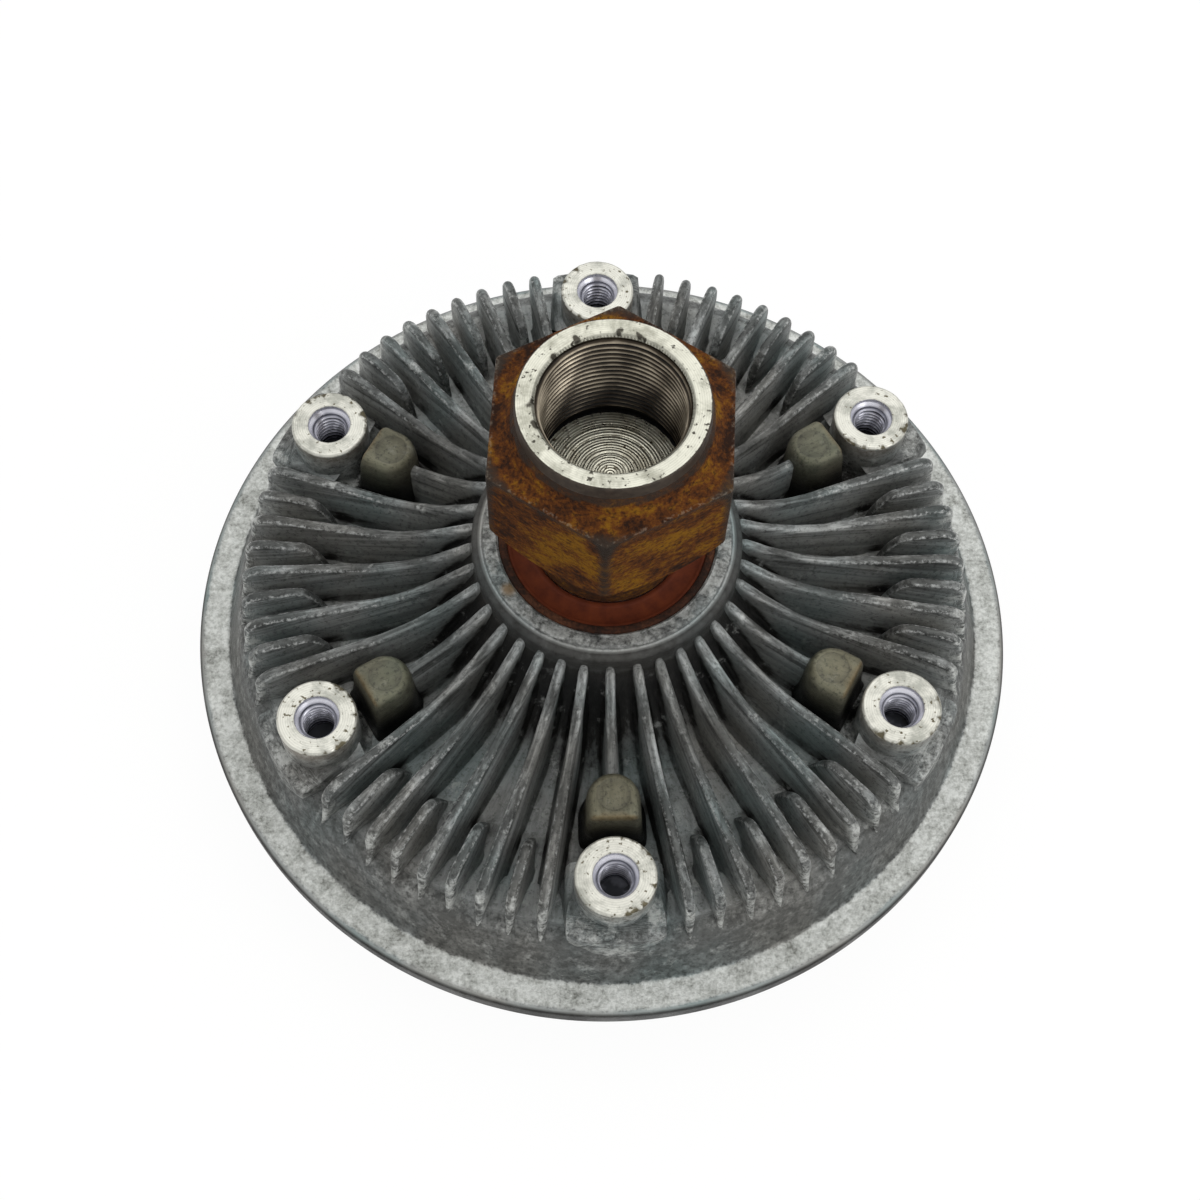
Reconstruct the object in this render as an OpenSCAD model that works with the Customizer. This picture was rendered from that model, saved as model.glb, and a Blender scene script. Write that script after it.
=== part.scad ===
// Viscous fan clutch, lying on its front cover with the threaded hub up.
// Lengths are in millimetres. Z is the clutch's axis, and the cover's fin tips stand on Z = 0.

/* [Fan bosses] */
// Diameter of the circle through the fan bosses
fan_pcd = 144; // [126:1:162]
// Number of fan bosses
boss_count = 6; // [4:1:8]
// Diameter of a boss at its machined face
boss_d = 17.2; // [15:0.1:20]
// Height of the boss faces above the housing's floor
boss_h = 13; // [11:0.1:16]
// Thread diameter of the fan screws
fan_screw_d = 8; // [6:1:10]
// Depth of the threaded holes
fan_screw_depth = 14.2; // [10:0.1:14.5]
// Depth of the smooth mouth above each thread
boss_mouth_h = 1.2; // [0.6:0.1:2]

/* [Housing] */
// Thickness of the housing's wall over the working chamber
housing_wall = 4.9; // [4:0.1:7]
// Thickness of the housing's side wall at the rim
side_wall = 9.75; // [8.5:0.05:12]
// Width of the rim's flat band
rim_band_w = 7.2; // [6:0.1:9]
// Height of the rim's band above the cover joint
rim_h = 2.4; // [2:0.1:6]
// Width of the ring around the bearing
bearing_ring_w = 5.8; // [5:0.1:8]
// Height that the staked ring stands above the bearing
stake_h = 0.4; // [0.2:0.1:1]
// Width of the ledge that the bearing seats on
bearing_ledge_w = 3; // [2:0.1:4]

/* [Fins] */
// Angle between neighbouring long fins
fin_pitch = 9.5; // [9:0.1:10]
// Long fins in each sector between two bosses
fins_per_sector = 5; // [3:2:5]
// Thickness of a fin at its crest
fin_t = 2.1; // [1.4:0.1:2.5]
// Draft of a fin's flanks
fin_draft = 4.5; // [1:0.1:6]
// Drop of the fin crests below the boss faces
crest_drop = 1; // [0.5:0.1:3]
// Radius where the short fins start
short_fin_r = 61.5; // [58:0.5:66]
// Radius of the rounded outer end of a fin
fin_tip_r = 5; // [3:0.1:6]

/* [Ejector pads] */
// Width of a pad
pad_w = 10.8; // [9:0.1:13]
// Length of a pad along the radius
pad_len = 10.5; // [9:0.1:13]
// Height of a pad above the boss faces
pad_rise = 2.5; // [1:0.1:4]
// Gap between a pad and its boss
pad_gap = 2.8; // [2:0.1:5]

/* [Hub] */
// Width across the flats of the hexagon
hex_af = 47; // [44:0.5:52]
// Height of the hexagon's flats
hex_h = 24.9; // [18:0.1:28]
// Length of the neck between bearing and hexagon
neck_len = 21.6; // [18:0.1:32]
// Height of the shoulder that the bearing's inner ring rests on
neck_shoulder = 3.8; // [3.5:0.1:4.4]
// Thread diameter of the hub's socket
hub_thread_d = 30; // [26:1:32]
// Depth of the hub's socket
socket_depth = 27.8; // [22:0.1:32]
// Wall of the round collar around the socket
collar_wall = 3.85; // [3:0.05:5]
// Height of the round collar
collar_h = 3.3; // [2:0.1:5]
// Height of the flare between hexagon and collar
flare_h = 4.2; // [3:0.1:8]
// Turn of the hexagon at rest
hex_turn = -4.4; // [-30:0.1:30]
// Diameter of the seat for the rotor
rotor_seat_d = 20; // [16:0.5:22]

/* [Bearing] */
// Bore of the bearing
bearing_bore = 25; // [20:1:28]
// Outside diameter of the bearing
bearing_od = 47; // [46:0.5:56]
// Width of the bearing
bearing_w = 16; // [14:0.5:19]
// Diameter of a ball
ball_d = 7; // [6:0.1:7.6]
// Number of balls
ball_count = 11; // [8:1:12]

/* [Rotor and working chamber] */
// Reach of the rotor's edge beyond the circle of the fan bosses
rotor_reach = 2.5; // [0:0.1:4]
// Gap between the rotor's edge and the chamber wall
rotor_edge_gap = 3; // [2.6:0.1:4]
// Thickness of the rotor's web
rotor_web = 4.5; // [3:0.1:6]
// Number of ring lands on each face
land_count = 5; // [3:1:6]
// Height of the ring lands
land_h = 3.9; // [2.5:0.1:5]
// Width of a ring land
land_w = 1.45; // [1.2:0.05:2]
// Gap between facing lands
land_gap = 0.45; // [0.35:0.05:0.6]

/* [Front cover] */
// Thickness of the cover's plate
cover_t = 4.2; // [3.6:0.1:6]
// Height of the cover's cooling fins
cover_fin_h = 16.4; // [15.6:0.1:22]
// Number of the cover's cooling fins
cover_fin_count = 36; // [18:2:40]
// Thickness of the cover's flange under the rolled lip
flange_t = 3.5; // [3:0.1:4.1]
// Thickness of the rolled lip
lip_t = 1; // [0.8:0.1:2]
// Width that the rolled lip holds the flange by
lip_w = 2.5; // [1.5:0.1:3.5]
// Wall of the rim outside the flange
rim_wall = 4.2; // [3.5:0.1:5.5]

/* [Reservoir and valve] */
// Width of the seat around the reservoir that carries the valve plate
plate_seat_w = 8; // [6:0.1:9]
// Thickness of the valve plate
plate_t = 1.2; // [0.8:0.1:1.6]
// Depth of the reservoir
reservoir_h = 5; // [4.6:0.1:6]
// Diameter of the port in the valve plate
port_d = 7; // [5:0.1:9]
// Diameter of the valve shaft
valve_shaft_d = 6; // [5:0.1:7]
// Thickness of the valve arm
arm_t = 1; // [0.8:0.1:1.4]
// Angle that the valve arm turns from closed to open
valve_travel = 35; // [20:1:40]
// Diameter of the plate's screws
plate_screw_d = 3; // [2.5:0.1:4]

/* [Bimetal coil] */
// Thickness of the coil's strip
coil_t = 0.9; // [0.6:0.05:1.1]
// Width of the coil's strip
coil_w = 7; // [5:0.1:7.4]
// Number of turns
coil_turns = 4; // [3:1:5]
// Radial pitch of the turns
coil_pitch = 2.5; // [2.1:0.1:3]

/* [Clearances] */
// Radial gap between pieces that turn on each other
run_gap = 0.05; // [0.03:0.01:0.08]
// Gap between pieces that are fitted together and stay
seat_gap = 0.02; // [0.01:0.01:0.05]

/* [Hidden] */
$fn = 96;

// Colours, as the photo shows them
cast_grey = [0.36, 0.37, 0.37];
rust_brown = [0.42, 0.27, 0.16];
bearing_steel = [0.45, 0.38, 0.33];
seal_red = [0.55, 0.22, 0.14];
bright_steel = [0.66, 0.66, 0.66];
seal_black = [0.08, 0.08, 0.08];
bimetal_grey = [0.55, 0.50, 0.42];

// Heights, stacked up from the cover's fin tips
z_cover_in = cover_fin_h + cover_t;
land_step = land_h + land_gap;
z_web_lo = z_cover_in + land_step;
z_web_hi = z_web_lo + rotor_web;
z_chamber = z_web_hi + land_step;
z_floor = z_chamber + housing_wall;
z_boss = z_floor + boss_h;
z_crest = z_boss - crest_drop;
z_rim = z_cover_in + rim_h;
z_flange = z_cover_in - flange_t;
z_lip = z_flange - lip_t;
bearing_lift = 14.6;
z_seat = z_chamber + bearing_lift;
z_bearing = z_seat + bearing_w;
z_ring = z_bearing + stake_h;
ring_slope = 3.4;
z_ring_low = z_ring - ring_slope;

// Radii of the bearing and the ring around it
bearing_r = bearing_od / 2;
bore_r = bearing_bore / 2;
ball_r = ball_d / 2;
ball_pitch_r = (bearing_r + bore_r) / 2;
z_ball = z_seat + bearing_w / 2;
race_gap = 0.06;
race_land = 2.05;
inner_race_r = ball_pitch_r - race_land;
outer_race_r = ball_pitch_r + race_land;
ring_r = bearing_r + bearing_ring_w;
ring_top_r = bearing_r + bearing_ring_w * 0.6;
ledge_r = bearing_r - bearing_ledge_w;
ledge_h = 3.2;

// Radii of the working chamber, the rim and the lands
boss_circle_r = fan_pcd / 2;
rotor_r = boss_circle_r + rotor_reach;
chamber_r = rotor_r + rotor_edge_gap;
foot_r = chamber_r + side_wall;
rim_r = foot_r + rim_band_w;
register_r = rim_r - rim_wall;
lip_r = register_r - lip_w;
land_pitch = 2 * (land_w + land_gap);
lands_r = rotor_r - land_count * land_pitch + land_gap;
cone_r = lands_r - 12;

// Outer shape of the housing
shoulder_r = 6.2;
floor_r = foot_r - 9.5;
fin_end_r = foot_r - 6.25;
fin_foot_r = foot_r - 2.9;
z_fin_foot = z_floor - 7;
fin_sink = 0.6;
z_fin_top = z_ring_low - fin_sink;
crest_blend_r = lands_r - 4;
boss_r = boss_d / 2;
pedestal_w = boss_d + 4;
pedestal_drop = 8;
pedestal_r = foot_r - 3.7;
pad_out_r = boss_circle_r - boss_r - pad_gap;
pad_in_r = pad_out_r - pad_len;
pad_mid_r = pad_in_r + pad_w / 2;
sector = 360 / boss_count;
first_boss = 90;

// Hub
neck_r = bore_r + neck_shoulder;
hex_r = hex_af / sqrt(3);
thread_r = hub_thread_d / 2;
collar_r = thread_r + collar_wall;
hex_foot_angle = 45;
z_hex = z_bearing + neck_len;
z_hex_top = z_hex + hex_h;
z_collar = z_hex_top + flare_h;
z_hub = z_collar + collar_h;
z_socket = z_hub - socket_depth;
collar_edge = 0.3;
relief_h = 2.6;
relief_r = thread_r + 0.3;
mouth_h = 0.8;
seat_r = rotor_seat_d / 2;
z_shaft_end = z_web_lo - 2.2;
ring_groove_h = 1.4;
ring_groove_d = 1;

// Reservoir, valve and coil
plate_r = lands_r - 8;
reservoir_r = plate_r - plate_seat_w;
z_plate = z_cover_in - plate_t;
z_reservoir = z_plate - reservoir_h;
middle_t = 3.4;
z_middle = z_reservoir - middle_t;
valve_r = valve_shaft_d / 2;
bush_r = valve_r + 3.6;
arm_gap = 0.3;
z_arm = z_plate - arm_gap - arm_t;
z_bush = z_arm - 0.4;
port_r = reservoir_r - port_d / 2 - 4;
arm_w = port_d + 5;
arm_bar_w = arm_w * 0.64;
tenon_r = valve_r - 1;
valve_turn = 90;
clip_t = 0.8;
clip_r = valve_r + 2.4;
z_clip = z_middle - 0.1 - clip_t;
o_ring_r = 0.8;
z_coil = z_clip - 0.3 - coil_w;
coil_in_r = valve_r + 2.2;
coil_out_r = coil_in_r + coil_turns * coil_pitch;
guard_r = coil_out_r + 4.5;
guard_w = 2.6;
tail_len = 3.2;

// Shared shapes

// Points of an arc in the plane, from angle a0 to angle a1
function arc(x, y, r, a0, a1, n = 6) =
  [for (i = [0:n]) [x + r * cos(a0 + (a1 - a0) * i / n), y + r * sin(a0 + (a1 - a0) * i / n)]];

// Body of revolution from a list of radius and height pairs
module lathe(outline) {
  rotate_extrude() polygon(outline);
}

// Plain ring between two radii and two heights
module ring(r_in, r_out, z_lo, z_hi) {
  difference() {
    translate([0, 0, z_lo]) cylinder(r = r_out, h = z_hi - z_lo);
    translate([0, 0, z_lo - 1]) cylinder(r = r_in, h = z_hi - z_lo + 2);
  }
}

// Copies of the children at even steps around the axis
module around(count, first = 0) {
  for (i = [0:count - 1]) rotate([0, 0, first + i * 360 / count]) children();
}

// Upright plate in the plane of the axis, drawn as radius and height, of thickness t
module radial_plate(outline, t) {
  rotate([90, 0, 0]) translate([0, 0, -t / 2]) linear_extrude(height = t) polygon(outline);
}

// Bar along the radius whose section is drawn as width and height
module radial_bar(section, r_in, r_out) {
  translate([r_in, 0, 0]) rotate([90, 0, 90]) linear_extrude(height = r_out - r_in) polygon(section);
}

// Fin: its side outline, thinned towards the crest by the draft of its flanks
module drafted_fin(outline, z_top, z_thick, z_low, t, r_in, r_out) {
  spread = t + 2 * (z_thick - z_low) * tan(fin_draft);
  intersection() {
    radial_plate(outline, spread + 2);
    radial_bar([
      [-spread / 2, z_low],
      [spread / 2, z_low],
      [t / 2, z_thick],
      [t / 2, z_top],
      [-t / 2, z_top],
      [-t / 2, z_thick]
    ], r_in, r_out);
  }
}

// Housing fins

// Height of a fin's crest: it runs up from the level part to the bearing ring
function crest_z(r) =
  z_crest + (z_fin_top - z_crest) * pow(max(0, (crest_blend_r - r) / (crest_blend_r - ring_r)), 1.8);

// Rounded outer end of a fin, from the crest down into the side wall
fin_end = concat(
  arc(fin_end_r - fin_tip_r, z_crest - fin_tip_r, fin_tip_r, 90, 0),
  [[fin_foot_r - fin_sink, z_fin_foot - 2 * fin_sink], [fin_foot_r - 3, z_fin_foot], [floor_r - 1, z_floor - 2]]
);

// Inner slope of a long fin, from the bearing ring out to the level crest
crest_steps = 8;
fin_slope = [
  for (i = [0:crest_steps])
    let (r = ring_r - 1 + (crest_blend_r - ring_r + 1) * i / crest_steps)
      [r, crest_z(max(r, ring_r))]
];

// Underside of a fin, buried in the housing's wall
fin_bed = [[cone_r, z_floor - 2], [ring_r - 1, z_ring_low - 6]];

module long_fin() {
  drafted_fin(concat(fin_slope, fin_end, fin_bed), z_ring, z_crest, z_rim, fin_t, ring_r - 1, foot_r);
}

module spoke_fin() {
  level = [[pad_mid_r, z_crest], [pad_mid_r, z_floor - 2]];
  drafted_fin(concat(fin_slope, level, fin_bed), z_ring, z_crest, z_rim, fin_t, ring_r - 1, foot_r);
}

module short_fin() {
  run = 7.5;
  rise = z_crest - z_floor + 1;
  inner_end = [
    for (i = [0:6])
      [short_fin_r + run * i / 6, z_crest - rise * pow(1 - i / 6, 2.2)]
  ];
  drafted_fin(
    concat(inner_end, fin_end, [[short_fin_r, z_floor - 2]]),
    z_ring, z_crest, z_rim, fin_t, short_fin_r - 1, foot_r
  );
}

module housing_fins() {
  half = (fins_per_sector - 1) / 2;
  around(boss_count, first_boss + sector / 2) {
    for (i = [-half:half]) rotate([0, 0, i * fin_pitch]) long_fin();
    for (i = [-half:half - 1]) rotate([0, 0, (i + 0.5) * fin_pitch]) short_fin();
  }
}

// Housing bosses and pads

// Boss with a flared foot on a pedestal that runs out to the side wall
module fan_boss() {
  flare = 2.4;
  translate([boss_circle_r, 0, 0]) lathe(concat(
    [[0, z_floor - 2], [boss_r + flare, z_floor - 2]],
    arc(boss_r + flare, z_floor + flare - 0.3, flare, 270, 180),
    [[boss_r, z_boss - 0.6], [boss_r - 0.4, z_boss], [0, z_boss]]
  ));
  radial_plate([
    [boss_circle_r, z_floor - 2],
    [boss_circle_r, z_boss - pedestal_drop],
    [pedestal_r - 1.2, z_boss - pedestal_drop],
    [pedestal_r, z_boss - pedestal_drop - 1.2],
    [fin_foot_r - fin_sink, z_fin_foot - 2 * fin_sink],
    [fin_foot_r - 3, z_fin_foot]
  ], pedestal_w);
}

// Threaded hole of a boss, with a smooth mouth and a drilled point
module fan_hole() {
  r = fan_screw_d / 2;
  mouth = 0.8;
  translate([boss_circle_r, 0, 0]) lathe([
    [0, z_boss + 1],
    [r + mouth, z_boss + 1],
    [r + mouth, z_boss - boss_mouth_h],
    [r, z_boss - boss_mouth_h - mouth],
    [r, z_boss - fan_screw_depth + 1.5],
    [0, z_boss - fan_screw_depth]
  ]);
}

// D-shaped pad for an ejector pin, round towards the hub and flat towards the boss
module ejector_pad() {
  top = z_boss + pad_rise;
  rise = top - z_floor + 2;
  spread = rise * tan(fin_draft);
  translate([pad_mid_r, 0, z_floor - 2]) cylinder(r1 = pad_w / 2 + spread, r2 = pad_w / 2, h = rise);
  bar_w = pad_w / 2 - 0.06;
  radial_bar([
    [-bar_w - spread, z_floor - 2],
    [bar_w + spread, z_floor - 2],
    [bar_w, top],
    [-bar_w, top]
  ], pad_mid_r, pad_out_r);
}

// Sub-parts

// Wall of the housing as a body of revolution: fins, bosses and pads stand on it
module housing_body() {
  edge = 1.3;
  lathe(concat(
    [
      [bearing_r + seat_gap, z_ring],
      [bearing_r + seat_gap, z_seat],
      [ledge_r, z_seat],
      [ledge_r, z_seat - ledge_h],
      [ledge_r + 3, z_seat - ledge_h - 1.5],
      [cone_r, z_chamber],
      [chamber_r, z_chamber],
      [chamber_r, z_cover_in],
      [register_r, z_cover_in],
      [register_r, z_flange],
      [lip_r, z_flange],
      [lip_r, z_lip]
    ],
    arc(rim_r - 2.2, z_lip + 2.2, 2.2, 270, 360),
    arc(rim_r - edge, z_rim - edge, edge, 0, 90, 4),
    [
      [foot_r + 0.8, z_rim],
      [foot_r, z_rim + 0.6],
      [fin_foot_r, z_fin_foot]
    ],
    arc(floor_r, z_floor - shoulder_r, shoulder_r, 30, 90),
    [
      [cone_r + 3, z_floor],
      [cone_r, z_floor + 1.2],
      [ring_r, z_ring_low - 3],
      [ring_r, z_ring_low],
      [ring_top_r + 0.8, z_ring - 0.6],
      [ring_top_r, z_ring]
    ]
  ));
}

// Ring lands that mesh with the rotor's: between heights lo and hi
module fixed_lands(z_lo, z_hi) {
  for (i = [0:land_count - 1]) {
    r_out = rotor_r - land_w - land_gap - i * land_pitch;
    ring(r_out - land_w, r_out, z_lo, z_hi);
  }
}

module housing() {
  color(cast_grey) difference() {
    union() {
      housing_body();
      fixed_lands(z_chamber - land_h, z_chamber + 1);
      housing_fins();
      around(boss_count, first_boss) {
        spoke_fin();
        ejector_pad();
        fan_boss();
      }
    }
    around(boss_count, first_boss) fan_hole();
    // Groove for the cover's seal
    ring(seal_r - seal_wire_r - 0.3, seal_r + seal_wire_r + 0.3, z_cover_in - 1, z_cover_in + 2 * seal_wire_r);
  }
}

// Cover

cover_fin_r = lip_r - 2;
cover_fin_t = 2.2;
seal_r = (chamber_r + register_r) / 2 - 1;
seal_wire_r = 0.95;
passage_r = 0.85;
passage_turn = 20;
scavenge_r = chamber_r - passage_r - 0.2;
wiper_w = 5;
wiper_t = rotor_edge_gap - 1.2;
wiper_wall_gap = 0.3;
wiper_r = chamber_r - wiper_wall_gap - wiper_t / 2;
wiper_peg_r = wiper_t / 2 - 0.1;
wiper_turn = passage_turn - 4.5;
screw_r = plate_screw_d / 2;
screw_circle_r = plate_r - plate_seat_w / 2;
screw_count = 6;
screw_len = 3;
screw_head_r = screw_r * 1.9;
screw_head_h = 0.9;
first_screw = 15;
slot_gap = 0.05;

// Wall of the cover as a body of revolution
module cover_body() {
  flange_r = register_r - 0.1;
  lathe([
    [0, z_reservoir],
    [reservoir_r, z_reservoir],
    [reservoir_r, z_plate],
    [plate_r + 0.1, z_plate],
    [plate_r + 0.1, z_cover_in],
    [flange_r, z_cover_in],
    [flange_r, z_flange],
    [lip_r, z_flange],
    [lip_r - 0.4, cover_fin_h],
    [reservoir_r + 6.5, cover_fin_h],
    [reservoir_r + 4, z_middle + 2.5],
    [reservoir_r + 1.5, z_middle],
    [0, z_middle]
  ]);
}

// Cooling fin of the cover, from the coil's guard ring out to the rim
module cover_fin() {
  intersection() {
    radial_plate([
      [guard_r + 1, 0],
      [cover_fin_r - 6, 0],
      [cover_fin_r - 2.5, 1.5],
      [cover_fin_r, cover_fin_h + 1],
      [reservoir_r + 8, cover_fin_h + 1],
      [reservoir_r + 1, z_middle + 1],
      [guard_r + 1, z_middle + 1]
    ], 8);
    radial_bar([
      [-cover_fin_t / 2, -1],
      [cover_fin_t / 2, -1],
      [cover_fin_t / 2 + 0.5, cover_fin_h + 2],
      [-cover_fin_t / 2 - 0.5, cover_fin_h + 2]
    ], guard_r, foot_r);
  }
}

module front_cover() {
  arm_stop_r = 1.5;
  stop_circle_r = port_r * 0.55;
  stop_angle = asin((arm_bar_w / 2 + arm_stop_r + 0.3) / stop_circle_r);
  color(cast_grey) difference() {
    union() {
      cover_body();
      fixed_lands(z_cover_in - 1, z_cover_in + land_h);
      ring(guard_r, guard_r + guard_w, 0, z_middle + 1);
      around(cover_fin_count, 180 / cover_fin_count) cover_fin();
      // Bush for the valve shaft, and the two stops of the valve arm
      translate([0, 0, z_reservoir - 1]) cylinder(r = bush_r, h = z_bush - z_reservoir + 1);
      for (turn = [valve_turn - stop_angle, valve_turn + valve_travel + stop_angle])
        rotate([0, 0, turn]) translate([stop_circle_r, 0, z_reservoir - 1])
          cylinder(r = arm_stop_r, h = z_arm + arm_t - z_reservoir + 1, $fn = 32);
      // Lug that holds the coil's outer end
      translate([coil_out_r + 1.2, -3, z_coil]) cube([guard_r - coil_out_r, 6, z_middle + 1 - z_coil]);
    }
    // Bore for the valve shaft, with the groove for its seal
    translate([0, 0, z_middle - 1]) cylinder(r = valve_r + run_gap, h = z_bush - z_middle + 2, $fn = 48);
    translate([0, 0, z_reservoir - 0.9]) cylinder(r = valve_r + 1.7, h = 1.8, $fn = 48);
    // Slot in the coil's lug
    translate([coil_out_r, -coil_t / 2 - slot_gap, z_coil - 1])
      cube([tail_len + 0.3, coil_t + 2 * slot_gap, coil_w + 1.3]);
    // Screw holes of the valve plate
    around(screw_count, first_screw) translate([screw_circle_r, 0, z_plate - screw_len - 0.5])
      cylinder(r = screw_r + seat_gap, h = screw_len + 1, $fn = 32);
    // Return passage: a drilling from the flange's edge in to the reservoir, met by the scavenge hole
    rotate([0, 0, passage_turn]) {
      translate([reservoir_r - 1, 0, z_cover_in - cover_t / 2])
        rotate([0, 90, 0]) cylinder(r = passage_r, h = register_r - reservoir_r + 2, $fn = 32);
      translate([scavenge_r - 1, 0, z_cover_in - cover_t / 2]) cylinder(r = passage_r, h = cover_t, $fn = 32);
    }
    // Hole for the wiper's peg
    rotate([0, 0, wiper_turn]) translate([wiper_r, 0, z_cover_in - 2.3])
      cylinder(r = wiper_peg_r + seat_gap, h = 3, $fn = 32);
  }
}

// Rubber ring in the cover's groove
module cover_seal_ring() {
  color(seal_black) rotate_extrude() translate([seal_r, z_cover_in + seal_wire_r]) circle(r = seal_wire_r - 0.05, $fn = 24);
}

// Steel plug in the outer end of the return passage
module return_plug() {
  plug_len = 4;
  color(bright_steel) rotate([0, 0, passage_turn])
    translate([register_r - 0.4 - plug_len, 0, z_cover_in - cover_t / 2])
      rotate([0, 90, 0]) cylinder(r = passage_r - seat_gap, h = plug_len, $fn = 32);
}

// Block beside the rotor's edge that wipes the fluid into the scavenge hole
module pump_wiper() {
  color(bright_steel) rotate([0, 0, wiper_turn]) {
    intersection() {
      ring(wiper_r - wiper_t / 2, wiper_r + wiper_t / 2, z_cover_in, z_chamber - 0.5);
      translate([chamber_r - 8, -wiper_w / 2, z_cover_in - 1]) cube([10, wiper_w, z_chamber - z_cover_in + 2]);
    }
    translate([wiper_r, 0, z_cover_in - 2]) cylinder(r = wiper_peg_r, h = 3, $fn = 32);
  }
}

// Hub

// Hexagon: its foot is cut by a cone, and a flare runs up from its flat top to the collar
module hub_hexagon() {
  flat_r = hex_af / 2;
  flare_r = flat_r - 0.4;
  intersection() {
    rotate([0, 0, hex_turn + 30]) translate([0, 0, z_hex]) cylinder(r = hex_r, h = hex_h, $fn = 6);
    lathe([
      [0, z_hex],
      [flat_r, z_hex],
      [hex_r + 1, z_hex + (hex_r + 1 - flat_r) * tan(hex_foot_angle)],
      [hex_r + 1, z_hex_top + 1],
      [0, z_hex_top + 1]
    ]);
  }
  lathe(concat(
    [[0, z_hex_top - 1], [flare_r, z_hex_top - 1]],
    [for (i = [8:-1:0]) [collar_r + (flare_r - collar_r) * i / 8, z_hex_top + flare_h * pow(1 - i / 8, 2.2)]],
    [[0, z_collar]]
  ));
}

module hub_shaft() {
  color(rust_brown) difference() {
    union() {
      hub_hexagon();
      lathe([
        [0, z_hub],
        [collar_r - collar_edge, z_hub],
        [collar_r, z_hub - collar_edge],
        [collar_r, z_collar - 0.2],
        [collar_r - 1, z_collar - 1],
        [neck_r, z_hex + 1],
        [neck_r, z_bearing],
        [bore_r - seat_gap, z_bearing],
        [bore_r - seat_gap, z_seat],
        [seat_r, z_seat],
        [seat_r, z_shaft_end + 0.6],
        [seat_r - 0.6, z_shaft_end],
        [0, z_shaft_end]
      ]);
    }
    // Socket: mouth, thread wall, relief groove and turned floor
    lathe([
      [0, z_hub + 1],
      [thread_r + 0.4, z_hub + 1],
      [thread_r + 0.4, z_hub],
      [thread_r, z_hub - mouth_h],
      [thread_r, z_socket + relief_h],
      [relief_r, z_socket + relief_h],
      [relief_r, z_socket + 0.6],
      [relief_r - 0.6, z_socket],
      [0, z_socket]
    ]);
    // Groove of the rotor's retaining ring
    ring(seat_r - ring_groove_d, seat_r + 1, z_web_lo - ring_groove_h, z_web_lo);
  }
}

// Rotor: boss against the bearing, web, and ring lands on both faces
module rotor_disc() {
  boss = min(inner_race_r - 0.4, ledge_r - 2);
  hole_r = 3;
  hole_circle_r = (cone_r + lands_r) / 2;
  color(bright_steel) difference() {
    union() {
      lathe([
        [seat_r + seat_gap, z_seat],
        [boss, z_seat],
        [boss, z_web_hi + 8],
        [boss + 9, z_web_hi],
        [rotor_r, z_web_hi],
        [rotor_r, z_web_lo],
        [seat_r + seat_gap, z_web_lo]
      ]);
      for (i = [0:land_count - 1])
        ring(rotor_r - land_w - i * land_pitch, rotor_r - i * land_pitch, z_web_lo - land_h, z_web_hi + land_h);
    }
    around(6) translate([hole_circle_r, 0, z_web_lo - 1]) cylinder(r = hole_r, h = rotor_web + 2, $fn = 32);
  }
}

// Split ring that holds the rotor on its seat
module rotor_retaining_ring() {
  ring_out_r = seat_r + 1.8;
  color(bright_steel) difference() {
    ring(seat_r - ring_groove_d + seat_gap, ring_out_r, z_web_lo - ring_groove_h + 0.1, z_web_lo);
    translate([0, -1.5, z_web_lo - ring_groove_h - 1]) cube([ring_out_r + 1, 3, ring_groove_h + 2]);
  }
}

// Bearing
seal_t = 1.6;
seal_inset = 0.4;
seal_out_r = bearing_r - 1.85;
seal_in_r = inner_race_r + 0.1;

// Groove that the balls run in
module race() {
  rotate_extrude() translate([ball_pitch_r, z_ball]) circle(r = ball_r + race_gap, $fn = 48);
}

module bearing_outer_ring() {
  recess = seal_t + seal_inset;
  color(bearing_steel) difference() {
    lathe([
      [outer_race_r, z_seat + recess],
      [seal_out_r + seat_gap, z_seat + recess],
      [seal_out_r + seat_gap, z_seat],
      [bearing_r - 0.6, z_seat],
      [bearing_r, z_seat + 0.6],
      [bearing_r, z_bearing - 0.6],
      [bearing_r - 0.6, z_bearing],
      [seal_out_r + seat_gap, z_bearing],
      [seal_out_r + seat_gap, z_bearing - recess],
      [outer_race_r, z_bearing - recess]
    ]);
    race();
  }
}

module bearing_inner_ring() {
  color(bearing_steel) difference() {
    ring(bore_r, inner_race_r, z_seat, z_bearing);
    race();
  }
}

module bearing_balls() {
  color(bright_steel) around(ball_count) translate([ball_pitch_r, 0, z_ball]) sphere(r = ball_r, $fn = 32);
}

module bearing_cage() {
  cage_w = race_land * 2 - 1.6;
  cage_h = ball_d + 2;
  color(bright_steel) difference() {
    ring(ball_pitch_r - cage_w / 2, ball_pitch_r + cage_w / 2, z_ball - cage_h / 2, z_ball + cage_h / 2);
    around(ball_count) translate([ball_pitch_r, 0, z_ball]) sphere(r = ball_r + 0.15, $fn = 32);
  }
}

// Seal in the recess of the outer ring, its lip at the inner ring
module bearing_seal(z_out, side) {
  color(seal_red) lathe([
    [seal_in_r, z_out],
    [seal_in_r + 0.8, z_out],
    [seal_in_r + 1.3, z_out - side * 0.25],
    [seal_out_r - 1, z_out - side * 0.25],
    [seal_out_r - 0.6, z_out],
    [seal_out_r, z_out],
    [seal_out_r, z_out - side * seal_t],
    [seal_in_r, z_out - side * seal_t]
  ]);
}

module rear_bearing_seal() {
  bearing_seal(z_bearing - seal_inset, 1);
}

module front_bearing_seal() {
  bearing_seal(z_seat + seal_inset, -1);
}

// Valve

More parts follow.
